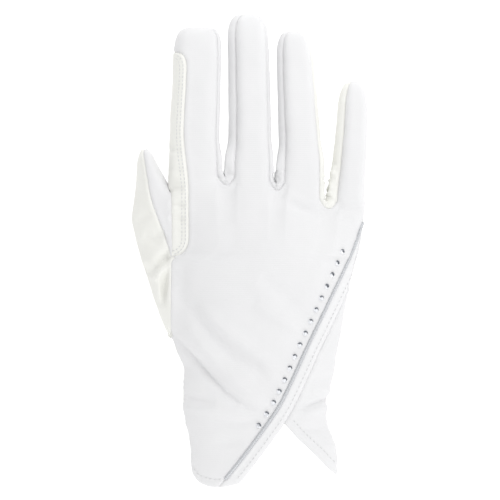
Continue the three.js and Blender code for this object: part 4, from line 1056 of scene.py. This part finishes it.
# Seams
# Every seam is sewn inside out and turned, so the panels roll down into it, and the thread gathers the
# cloth into short puckers across it. The leather strip is laid on and stitched, so it stands up instead.
def line_parts(faces, panels):
    """Edges where two panels meet, and edges where a panel ends free."""
    owner = {}
    for number, face in enumerate(faces):
        for place, start in enumerate(face):
            owner[(start, face[(place + 1) % len(face)])] = number
    seams, free = [], []
    for (start, end), number in owner.items():
        other = owner.get((end, start))
        if other is None:
            free.append((start, end))
        elif panels[other] != panels[number] and start < end:
            seams.append((start, end, panels[number], panels[other]))
    return seams, free


def nearest_on(lines, wanted, reach):
    """Distance from each wanted point to the nearest line part within reach, and the place on it."""
    lines = np.array([line[:2] for line in lines])
    used = np.unique(lines)
    touching = {number: [] for number in used.tolist()}
    for number, (start, end) in enumerate(lines.tolist()):
        touching[start].append(number)
        touching[end].append(number)
    tree = kdtree.KDTree(len(used))
    for number in used.tolist():
        tree.insert(points[number], number)
    tree.balance()
    away = np.full(len(wanted), reach * 2.0)
    spot = np.zeros((len(wanted), 3))
    first, run = points[lines[:, 0]], points[lines[:, 1]] - points[lines[:, 0]]
    size = np.maximum((run**2).sum(axis=1), LEAST_LENGTH)
    for place, number in enumerate(wanted):
        here = points[number]
        _, found, gap = tree.find(here)
        if gap > reach:
            continue
        for part in touching[found]:
            share = limit(float((here - first[part]) @ run[part]) / size[part])
            foot = first[part] + run[part] * share
            distance = float(np.linalg.norm(here - foot))
            if distance < away[place]:
                away[place], spot[place] = distance, foot
    return away, spot


SEAM_REACH = 8.0
used_points = np.unique(np.concatenate([np.array(face) for face in faces]))
seams, free_edges = line_parts(faces, panels)
normals = normals_of(points, faces)
seam_away, seam_spot = nearest_on(seams, used_points, SEAM_REACH)
free_away, free_spot = nearest_on(free_edges, used_points, SEAM_REACH)
names_at = panels_round(faces, panels)
join_lines = [line for line in seams if set(line[2:]) in thumb_joins]
near_join, _ = nearest_on(join_lines, used_points, SEAM_REACH)


def lowest_of(names):
    """The lowest point on which all of these panels meet."""
    meeting = [points[number] for number in used_points.tolist() if names <= names_at[number]]
    return min(meeting, key=lambda place: place[1]).copy()


# Where three panels meet at the strip's foot and at the thumb's own foot, the seams are sewn down flat.
FOOT_FLAT = (0.5, 5.0)  # mm from such a foot over which the seams' relief sets in
thumb_feet = [lowest_of({"thumb_leather"}), lowest_of({"thumb_fabric", "index_strip"})]
RESTING = (0.0, 1.2)  # mm above the table over which relief sets in
GROOVE = {"deep": 0.46, "wide": 0.52, "shallow": 0.8, "near": 1.6}  # shallower near the thumb's joins
ROLL = {"high": 0.12, "wide": 1.1, "away": 1.7}
PUCKER = {"high": 0.3, "reach": 2.6, "grain": 1.5, "second": 0.6, "coarse": 3.4, "past": (0.1, 0.9)}
PUCKER_SEEDS, CRUMPLE_SEED, RIPPLE_GRAIN, RIPPLE_SEED = (1.7, 5.2), 6.6, 2.2, 4.4
STRIP_RISE, STRIP_EDGE = 0.22, 0.5
CRUMPLE = {"high": 1.5, "grain": 2.1, "beside": (6.0, 13.0), "above": (6.0, 9.0), "past": (0.2, 1.2)}
HEM = {"line": 3.9, "sink": 0.22, "wide": 0.55, "ripple": 0.22, "reach": 4.0, "turn": 0.35, "edge": 0.7}


def bell(away, reach):
    return math.exp(-((away / reach) ** 2))


def seam_relief(place, number):
    """Groove, roll and puckers beside a seam, and the step up on to the leather strip."""
    away = seam_away[place]
    depth = GROOVE["deep"] * (1 - GROOVE["shallow"] * bell(near_join[place], GROOVE["near"]))
    gather = unrest(seam_spot[place], PUCKER["grain"], PUCKER_SEEDS[0])
    gather += PUCKER["second"] * unrest(seam_spot[place], PUCKER["coarse"], PUCKER_SEEDS[1])
    rise = ROLL["high"] * bell(away - ROLL["away"], ROLL["wide"]) - depth * bell(away, GROOVE["wide"])
    rise += PUCKER["high"] * gather * bell(away, PUCKER["reach"]) * ease(away, *PUCKER["past"])
    if names_at[number] == {"index_strip"}:
        rise += STRIP_RISE * (1 - bell(away, STRIP_EDGE))
    return rise


def fork_relief(place, number):
    """The crumpled cloth of the strips at the bottom of each fork."""
    fork_away = min(abs(points[number][1] - finger.fork - SHIFT[1]) for finger in fingers[1:])
    crumple = unrest(points[number], CRUMPLE["grain"], CRUMPLE_SEED)
    crumple *= 1 - ease(fork_away, *CRUMPLE["beside"])
    shown = ease(points[number][2], *CRUMPLE["above"]) * ease(seam_away[place], *CRUMPLE["past"])
    return CRUMPLE["high"] * crumple * shown


def hem_relief(place):
    """The sunk stitch line of a turned hem, its ripples, and the turn of its edge."""
    away = free_away[place]
    ripple = unrest(free_spot[place], RIPPLE_GRAIN, RIPPLE_SEED)
    rise = HEM["ripple"] * ripple * bell(away, HEM["reach"])
    rise -= HEM["sink"] * bell(away - HEM["line"], HEM["wide"])
    return rise - HEM["turn"] * bell(away, HEM["edge"])


moves = np.zeros(len(points))
for place, number in enumerate(used_points.tolist()):
    move = seam_relief(place, number) if seam_away[place] < SEAM_REACH else 0.0
    if any(name.startswith("fourchette") for name in names_at[number]):
        move += fork_relief(place, number)
    if free_away[place] < SEAM_REACH:
        move += hem_relief(place)
    to_foot = min(float(np.linalg.norm(points[number] - foot)) for foot in thumb_feet)
    moves[number] = move * ease(points[number][2], *RESTING) * ease(to_foot, *FOOT_FLAT)
points += normals * moves[:, None]
points[:, 2] = np.maximum(points[:, 2], 0.0)
normals = normals_of(points, faces)
# The seams run together at each fingertip, and the walls lie straight behind it.
TIP_REACH = 0.9
JUST_BELOW = 0.01
for finger in fingers:
    tip = finger.shape(finger.tip - JUST_BELOW)
    at_tip = points[:, 1] > finger.tip + SHIFT[1] - TIP_REACH
    at_tip &= points[:, 0] > tip["left"] + SHIFT[0] - TIP_REACH
    at_tip &= points[:, 0] < tip["right"] + SHIFT[0] + TIP_REACH
    if finger is little:
        at_tip &= points[:, 1] < finger.tip + SHIFT[1] + TIP_REACH
    normals[at_tip] = (0, 1, 0)
surface = BVHTree.FromPolygons([tuple(point) for point in points], faces, epsilon=0.0)


WELL_ABOVE = 60.0


def on_glove(x, y):
    """The glove's upper surface over a place, and the way that it faces, in mm."""
    place, direction, _, _ = surface.ray_cast(Vector((x, y, WELL_ABOVE)), Vector((0, 0, -1)))
    return place, direction


MM = 0.001


def put(name, vertices, faces, material, node_names, slot, smooth=True):
    """A mesh in mm as a piece of the glove that stands for its CAD nodes."""
    mesh = bpy.data.meshes.new(name)
    mesh.from_pydata([tuple(float(value) * MM for value in vertex) for vertex in vertices], [], faces)
    mesh.polygons.foreach_set("use_smooth", [smooth] * len(mesh.polygons))
    mesh.materials.append(material)
    mesh.update()
    piece = bpy.data.objects.new(name, mesh)
    bpy.context.scene.collection.objects.link(piece)
    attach(piece, "root")
    if node_names:
        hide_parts(*node_names)
    return piece


EDGE_ROLL = 0.32


def panel_piece(name, wall, material, slot):
    """A panel with its wall's thickness inside the skin and a rolled edge all round."""
    own = [face for face, panel in zip(faces, panels) if panel == name]
    numbers = sorted({number for face in own for number in face})
    place_of = {number: place for place, number in enumerate(numbers)}
    outer = points[numbers]
    inner = outer - normals[numbers] * wall
    outer_faces = [[place_of[number] for number in face] for face in own]
    count = len(numbers)
    solid_faces = outer_faces + [[place + count for place in face[::-1]] for face in outer_faces]
    walked = {edge for face in outer_faces for edge in zip(face, face[1:] + face[:1])}
    rim = [(start, end) for start, end in walked if (end, start) not in walked]
    rim_points = sorted({number for edge in rim for number in edge})
    out = np.zeros((count, 3))
    for start, end in rim:
        run = outer[end] - outer[start]
        for number in (start, end):
            out[number] += np.cross(run, normals[numbers[number]])
    belt_of, belt = {}, []
    seam_points = {number for line in seams for number in line[:2]}
    for number in rim_points:
        direction = out[number] / max(np.linalg.norm(out[number]), LEAST_LENGTH)
        bulge = 0.0 if numbers[number] in seam_points else EDGE_ROLL
        belt_of[number] = 2 * count + len(belt)
        belt.append((outer[number] + inner[number]) / 2 + direction * bulge)
    for start, end in rim:
        solid_faces.append([end, start, belt_of[start], belt_of[end]])
        solid_faces.append([belt_of[end], belt_of[start], start + count, end + count])
    vertices = np.vstack([outer, inner, np.array(belt)])
    return put(name + "_sewn", vertices, solid_faces, material, [name], slot)


# Back of the hand and side panel
# A four-way stretch polyamide rib knit, cut so that its fine ribs run across the hand. It is matt white
# with a cold cast, and its loose surface fibres catch the light at a low angle.
FABRIC_WALL = 1.2
RIB_SPACING = 0.95  # mm; the real ribs are 0.5 mm apart, too fine to show, so they are drawn coarser
LOOP_SIZE, DYE_CLOUD = 0.8, 14.0
WAVE_TURNS = 20  # the wave texture runs through a full turn in 2 pi / 20 of a unit


def mottled(tree, place, size, detail, colour, shade):
    """A colour that drifts softly into a shade of it, in clouds of a size in mm."""
    clouds = {"Scale": 1 / (size * MM), "Detail": detail}
    cloud = add_node(tree, "ShaderNodeTexNoise", clouds, {"Vector": place})
    colours = {"data_type": "RGBA", "A": linear(colour), "B": linear(shade)}
    return add_node(tree, "ShaderNodeMix", colours, {"Factor": cloud.outputs["Fac"]}).outputs["Result"]


def rib_knit(name, colour, shade, roughness, sheen, rib_depth):
    """Rib-knit polyamide: fine ribs across, a slight mottle of the loops, and soft sheen."""
    material, tree = new_material(name)
    place = add_node(tree, "ShaderNodeTexCoord").outputs["Object"]
    ribs = add_node(
        tree,
        "ShaderNodeTexWave",
        {"wave_type": "BANDS", "bands_direction": "Y", "Scale": 2 * math.pi / (RIB_SPACING * MM * WAVE_TURNS),
         "Distortion": 0.6, "Detail": 2.0, "Detail Scale": 1.5},
        {"Vector": place},
    )
    knit_loops = {"Scale": 1 / (LOOP_SIZE * MM), "Detail": 3.0}
    loops = add_node(tree, "ShaderNodeTexNoise", knit_loops, {"Vector": place})
    heights = add_node(tree, "ShaderNodeMath", {"operation": "ADD"})
    tree.links.new(ribs.outputs["Fac"], heights.inputs[0])
    tree.links.new(loops.outputs["Fac"], heights.inputs[1])
    depth = {"Strength": 0.35, "Distance": rib_depth * MM}
    bump = add_node(tree, "ShaderNodeBump", depth, {"Height": heights.outputs["Value"]})
    finish_material(
        tree,
        {"Roughness": roughness, "IOR": 1.53, "Sheen Weight": sheen, "Sheen Roughness": 0.5},
        {"Base Color": mottled(tree, place, DYE_CLOUD, 4.0, colour, shade), "Normal": bump.outputs["Normal"]},
    )
    return material


stretch_knit = rib_knit("polyamide_rib_knit", "#E5E5E6", "#E0E0E1", 0.85, 0.1, 0.05)
panel_piece("back_panel", FABRIC_WALL, stretch_knit, "stretch_fabric")
panel_piece("side_panel", FABRIC_WALL, stretch_knit, "stretch_fabric")

# Facing tape
# A smooth woven polyester tape sewn along the piping to stop the diagonal seam from stretching. Below the
# vent it is the cuff's free edge. Its close weave reads smoother and whiter than the knit.
woven_tape = rib_knit("woven_polyester_tape", "#E7E7E8", "#E3E3E4", 0.7, 0.05, 0.02)
panel_piece("facing_band", FABRIC_WALL, woven_tape, "facing")

# Strips between the fingers, and the thumb's inner half
# The same knit as the back's, cut as narrow strips that give each finger its depth and turn round a fork.
# The thumb's inner half is knit too, so that the thumb can spread.
panel_piece("fourchette_index_middle", FABRIC_WALL, stretch_knit, "stretch_fabric")
panel_piece("fourchette_middle_ring", FABRIC_WALL, stretch_knit, "stretch_fabric")
panel_piece("thumb_fabric", FABRIC_WALL, stretch_knit, "stretch_fabric")

# Leather
# Drum-dyed hairsheep glove leather, off-white and supple, with a fine pore grain and a satin finish: the
# palm, the outer thumb, the reinforcement strip on the index finger, and the strip at the little finger.
LEATHER_WALL = 1.3
GRAIN_SPACING = 0.9  # mm; the real grain is 0.3 mm, too fine to show, so it is drawn coarser
GRAIN_DEPTH, TAN_CLOUD = 0.12, 9.0


def sheep_leather(name, colour, shade, roughness):
    """Hairsheep leather: a fine cell grain, faint cloudiness from dyeing, and a satin top coat."""
    material, tree = new_material(name)
    place = add_node(tree, "ShaderNodeTexCoord").outputs["Object"]
    cells = {"feature": "DISTANCE_TO_EDGE", "Scale": 1 / (GRAIN_SPACING * MM)}
    grain = add_node(tree, "ShaderNodeTexVoronoi", cells, {"Vector": place})
    depth = {"Strength": 0.3, "Distance": GRAIN_DEPTH * MM}
    bump = add_node(tree, "ShaderNodeBump", depth, {"Height": grain.outputs["Distance"]})
    finish_material(
        tree,
        {"Roughness": roughness, "IOR": 1.5},
        {"Base Color": mottled(tree, place, TAN_CLOUD, 5.0, colour, shade), "Normal": bump.outputs["Normal"]},
    )
    return material


glove_leather = sheep_leather("white_hairsheep_leather", "#EDEDE9", "#E8E8E3", 0.6)
for panel in ("palm_panel", "thumb_leather", "index_strip", "fourchette_ring_little"):
    panel_piece(panel, LEATHER_WALL, glove_leather, "leather")

# Piping
# A thin cord wound with flat metallised yarn, caught in the diagonal seam. The windings run aslant, so
# it glints in fine bars like a twisted wire.
PIPING_STEPS, PIPING_SIDES = 560, 14
PIPING_ROUNDS = 10
PIPING_LIFT = 0.9  # how far the cord's middle stands over the cloth, in radii
WINDING = 1.4  # mm along the cord for one bar of the winding
BAR_HEIGHT = 0.11
PIPING_TOP, PIPING_END = 0.025, 0.97
# The yarn is slit film with a metal layer under lacquer: a grey gleam, a third as strong as bare metal's.
metallised_yarn, yarn_tree = new_material("silver_metallised_yarn")
finish_material(yarn_tree, {"Base Color": linear("#C6C8CB"), "Metallic": 0.3, "Roughness": 0.42})


def way_at(share):
    """Place on the piping's line at a share of it from the little finger's side, and its direction."""
    y = mix(way_high, way_low, share)
    x = float(np.interp(y, way_y, way_x))
    run = np.array([np.interp(y, way_y, tangent[:, 0]), np.interp(y, way_y, tangent[:, 1])])
    return np.array([x, y]), -run / np.linalg.norm(run)


def ring_faces(rings, sides):
    """A closed tube through rings of points, each with as many sides."""
    tube = []
    for low in range(0, (rings - 1) * sides, sides):
        for part in range(sides):
            following = (part + 1) % sides
            tube.append([low + part, low + following, low + sides + following, low + sides + part])
    return tube + [list(range(sides))[::-1], [(rings - 1) * sides + part for part in range(sides)]]


def piping_mesh():
    """The wound cord, along its line on the glove."""
    line = []
    for step in range(PIPING_STEPS):
        (x, y), _ = way_at(mix(PIPING_TOP, PIPING_END, step / (PIPING_STEPS - 1)))
        place, _ = on_glove(x, y)
        if place is not None:
            line.append(np.array(place))
    line = np.array(line)
    for _ in range(PIPING_ROUNDS):
        line[1:-1] = (line[:-2] + 2 * line[1:-1] + line[2:]) / 4
    line[:, 2] += PIPING_RADIUS * PIPING_LIFT
    runs = np.gradient(line, axis=0)
    runs /= np.linalg.norm(runs, axis=1)[:, None]
    passed = np.concatenate([[0], np.cumsum(np.linalg.norm(np.diff(line, axis=0), axis=1))])
    vertices = []
    for number, (place, run) in enumerate(zip(line, runs)):
        side = np.cross(run, [0, 0, 1])
        side /= np.linalg.norm(side)
        up = np.cross(side, run)
        for part in range(PIPING_SIDES):
            turn = 2 * math.pi * part / PIPING_SIDES
            bar = math.sin(2 * math.pi * passed[number] / WINDING + turn)
            radius = PIPING_RADIUS + BAR_HEIGHT * bar
            vertices.append(place + radius * (math.cos(turn) * side + math.sin(turn) * up))
    return vertices, ring_faces(len(line), PIPING_SIDES)


put("piping_cord", *piping_mesh(), metallised_yarn, ["piping"], "piping")

# Cut stones
# Round glass stones, foiled underneath and glued flat on the knit, each 2.6 mm across at its low round
# foot. Sixteen of them follow the piping on the thumb's side.
STONE_COUNT = 16
STONE_RADIUS, STONE_HEIGHT = 1.2, 1.05
TABLE_SHARE = 0.52
FACETS = 8
STONES_FROM, STONES_TO = 0.195, 0.796
STONE_INSET = (4.6, 3.0)
STONE_TWIST = (3.7, 2.0)  # step and seed of the way that each stone happens to be turned


def foiled_glass(name, colour, metallic):
    """Cut glass over a silver foil: hard bright reflections in a clear coat."""
    material, tree = new_material(name)
    finish_material(
        tree,
        {"Base Color": linear(colour), "Metallic": metallic, "Roughness": 0.06, "Coat Weight": 1.0,
         "Coat Roughness": 0.02},
    )
    return material


# Lit and shaded copies of the glass: the facets that face one fixed way get a dark grey copy, painted shade
# standing in for dark reflections, and the others keep the bright copy.
painted_lit_glass = foiled_glass("foiled_cut_glass", "#F2F4F8", 0.3)
painted_shade_glass = foiled_glass("foiled_cut_glass_deep", "#62666E", 0.6)
PAINTED_SHADE_FROM, PAINTED_SHADE_TO = math.radians(-15), math.radians(135)  # the way that the facets with painted shade face
LEAST_SLANT = 0.35  # flatter facets, such as the table, keep the bright copy


def stone_mesh():
    """A crown with a table and two rows of facets, over a low round foot."""
    # Radius and height as shares of the stone's, and the turn of the ring in facets, from the foot up.
    rings = [(1.08, 0.0, 0.5), (1.1, 0.22, 0.5), (1.0, 0.3, 0.5), (0.8, 0.62, 0.0), (TABLE_SHARE, 1.0, 0.5)]
    vertices, sides = [], []
    for radius, height, turn in rings:
        for facet in range(FACETS):
            angle = 2 * math.pi * (facet + turn) / FACETS
            spot = (math.cos(angle) * radius * STONE_RADIUS, math.sin(angle) * radius * STONE_RADIUS)
            vertices.append((*spot, height * STONE_HEIGHT))
    for number in range(len(rings) - 1):
        low, high = number * FACETS, (number + 1) * FACETS
        for facet in range(FACETS):
            following = (facet + 1) % FACETS
            if rings[number][2] == rings[number + 1][2]:
                sides.append([low + facet, low + following, high + following, high + facet])
            elif rings[number][2] > rings[number + 1][2]:
                sides.append([low + facet, high + following, high + facet])
                sides.append([low + facet, low + following, high + following])
            else:
                sides.append([low + facet, low + following, high + facet])
                sides.append([low + following, high + following, high + facet])
    sides.append(list(range(FACETS))[::-1])
    sides.append([(len(rings) - 1) * FACETS + facet for facet in range(FACETS)])
    return vertices, sides


stone_points, stone_faces = stone_mesh()
for stone in range(STONE_COUNT):
    share = stone / (STONE_COUNT - 1)
    (x, y), run = way_at(mix(STONES_FROM, STONES_TO, share))
    inset = mix(*STONE_INSET, share)
    place, direction = on_glove(x + run[1] * inset, y - run[0] * inset)
    twist = unrest((stone * STONE_TWIST[0], 0, 0), 1.0, STONE_TWIST[1]) * math.pi
    turn = direction.to_track_quat("Z", "Y").to_matrix() @ Matrix.Rotation(twist, 3, "Z")
    seated = [turn @ Vector(point) + place for point in stone_points]
    name = f"stone_{stone + 1:02d}"
    piece = put(name + "_cut", seated, stone_faces, painted_lit_glass, [name], "stone", smooth=False)
    # Painted shade: facets that face between the right and the upper left get the dark grey copy of the
    # glass.
    piece.data.materials.append(painted_shade_glass)
    for facet in piece.data.polygons:
        faced = math.atan2(facet.normal.y, facet.normal.x)
        if math.hypot(facet.normal.x, facet.normal.y) > LEAST_SLANT and PAINTED_SHADE_FROM < faced < PAINTED_SHADE_TO:
            facet.material_index = 1

# Stitching
# Bonded polyester thread in lockstitch: a double row along the leather strip, one row along the facing
# tape, and one row that holds each turned hem.
THREAD_RADIUS = 0.2
THREAD_SIDES, THREAD_PARTS = 6, 4
THREAD_START = 0.3
THREAD_ARCH, THREAD_SINK, THREAD_END = 1.1, 0.55, 0.55  # in radii: how it arches, lies in and thins out
STRIP_STITCH, CLOTH_STITCH = (1.25, 0.55), (1.5, 0.75)  # mm of thread shown, and of cloth between
# Twisted polyester with a dull gleam: a white thread, coloured light grey and darker than the cloth all
# along, which is painted shade of where it sinks in.
thread_painted_shade, thread_tree = new_material("bonded_polyester_thread")
finish_material(thread_tree, {"Base Color": linear("#D6D7D7"), "Roughness": 0.6, "IOR": 1.55})


def stitch_spine(line, passed, start, length):
    """Points of one arched stitch and the way up at each, or none where it would leave the glove."""
    spine = []
    for part in range(THREAD_PARTS + 1):
        at = start + length * part / THREAD_PARTS
        place, up = on_glove(np.interp(at, passed, line[:, 0]), np.interp(at, passed, line[:, 1]))
        if place is None:
            return []
        lift = THREAD_RADIUS * (THREAD_ARCH * math.sin(math.pi * part / THREAD_PARTS) - THREAD_SINK)
        spine.append((np.array(place + up * lift), np.array(up)))
    return spine


def stitch_row(name, line, stitch, slot):
    """Short arched stitches along a line of places on the glove's upper side."""
    length, gap = stitch
    line = np.array(line)
    passed = np.concatenate([[0], np.cumsum(np.linalg.norm(np.diff(line, axis=0), axis=1))])
    vertices, stitch_faces = [], []
    start = THREAD_START
    while start + length < passed[-1]:
        spine = stitch_spine(line, passed, start, length)
        start += length + gap
        if not spine:
            continue
        first = len(vertices)
        for part, (place, up) in enumerate(spine):
            run = spine[min(part + 1, THREAD_PARTS)][0] - spine[max(part - 1, 0)][0]
            run /= max(np.linalg.norm(run), LEAST_LENGTH)
            side = np.cross(run, up)
            side /= max(np.linalg.norm(side), LEAST_LENGTH)
            radius = THREAD_RADIUS * (THREAD_END if part in (0, THREAD_PARTS) else 1.0)
            for turn in range(THREAD_SIDES):
                angle = 2 * math.pi * turn / THREAD_SIDES
                away = math.cos(angle) * side + math.sin(angle) * np.cross(side, run)
                vertices.append(place + radius * away)
        tube = ring_faces(len(spine), THREAD_SIDES)
        stitch_faces += [[first + number for number in face] for face in tube]
    return put(name, vertices, stitch_faces, thread_painted_shade, [], slot)


STRIP_ROWS = (1.5, 3.1)  # mm in from the strip's edge
STRIP_EDGE_STEPS, STRIP_FOOT_STEPS = 120, 80
LEAST_SPACING = 0.02


def strip_edge(inset):
    """A line inside the strip's free edge, from its top round down to its lower end, in mm."""
    line = []
    for number in range(STRIP_EDGE_STEPS):
        along = mix(STRIP_TOP - NEARLY, 0, number / (STRIP_EDGE_STEPS - 1))
        height = mix(THUMB_FORK, index.tip, along)
        here = index.shape(height)
        left_x = here["left"] + index.seam_left * (here["right"] - here["left"])
        line.append((left_x + strip_wide(along) + SHIFT[0], height + SHIFT[1]))
    for number in range(STRIP_FOOT_STEPS):
        height = mix(THUMB_FORK, STRIP_END + LEAST_SPACING, number / (STRIP_FOOT_STEPS - 1))
        x = hand_left(height) + strip_on_hand(height) * STRIP_WIDTH
        line.append((x + SHIFT[0], height + SHIFT[1]))
    line = np.array(line)
    run = np.gradient(line, axis=0)
    run /= np.maximum(np.linalg.norm(run, axis=1), LEAST_LENGTH)[:, None]
    moved = line + np.stack([run[:, 1], -run[:, 0]], axis=1) * inset
    spacing = np.linalg.norm(np.diff(moved, axis=0), axis=1)
    return moved[np.concatenate([[True], spacing > LEAST_SPACING])]


for row_name, inset in zip(("outer", "inner"), STRIP_ROWS):
    stitch_row(f"strip_stitching_{row_name}", strip_edge(inset), STRIP_STITCH, "leather")

FACING_ROW, FACING_SPAN, FACING_STEPS = 4.3, (0.2, 0.955), 300
facing_line = []
for number in range(FACING_STEPS):
    (x, y), run = way_at(mix(*FACING_SPAN, number / (FACING_STEPS - 1)))
    facing_line.append((x - run[1] * FACING_ROW, y + run[0] * FACING_ROW))
stitch_row("facing_stitching", facing_line, CLOTH_STITCH, "facing")

# The lobe's row keeps clear of the cuff's two edges, and the tail's of the vent, its point and the tape.
LOBE_CLEAR, TAIL_CLEAR, TAPE_CLEAR = (1.5, 1.0), (1.0, 0.5), 1.0
lobe_from, lobe_to = hem_line[1][0] + LOBE_CLEAR[0], hem_line[len(LOBE) - 1][0] - LOBE_CLEAR[1]
tail_from, tail_to = vent[0] + TAIL_CLEAR[0], hem_line[-2][0] - TAIL_CLEAR[1]
lobe_line, tail_line = [], []
for x, y, lean in zip(soft_x, soft_y, soft_lean):
    if lobe_from < x < lobe_to:
        lobe_line.append((x, y + HEM["line"]))
    size = math.hypot(1, lean)
    spot = (x - lean / size * HEM["line"], y + HEM["line"] / size)
    if tail_from < x < tail_to and band_side(*spot) < -TAPE_CLEAR:
        tail_line.append(spot)
stitch_row("lobe_hem_stitching", lobe_line, CLOTH_STITCH, "stretch_fabric")
stitch_row("tail_hem_stitching", tail_line, CLOTH_STITCH, "stretch_fabric")
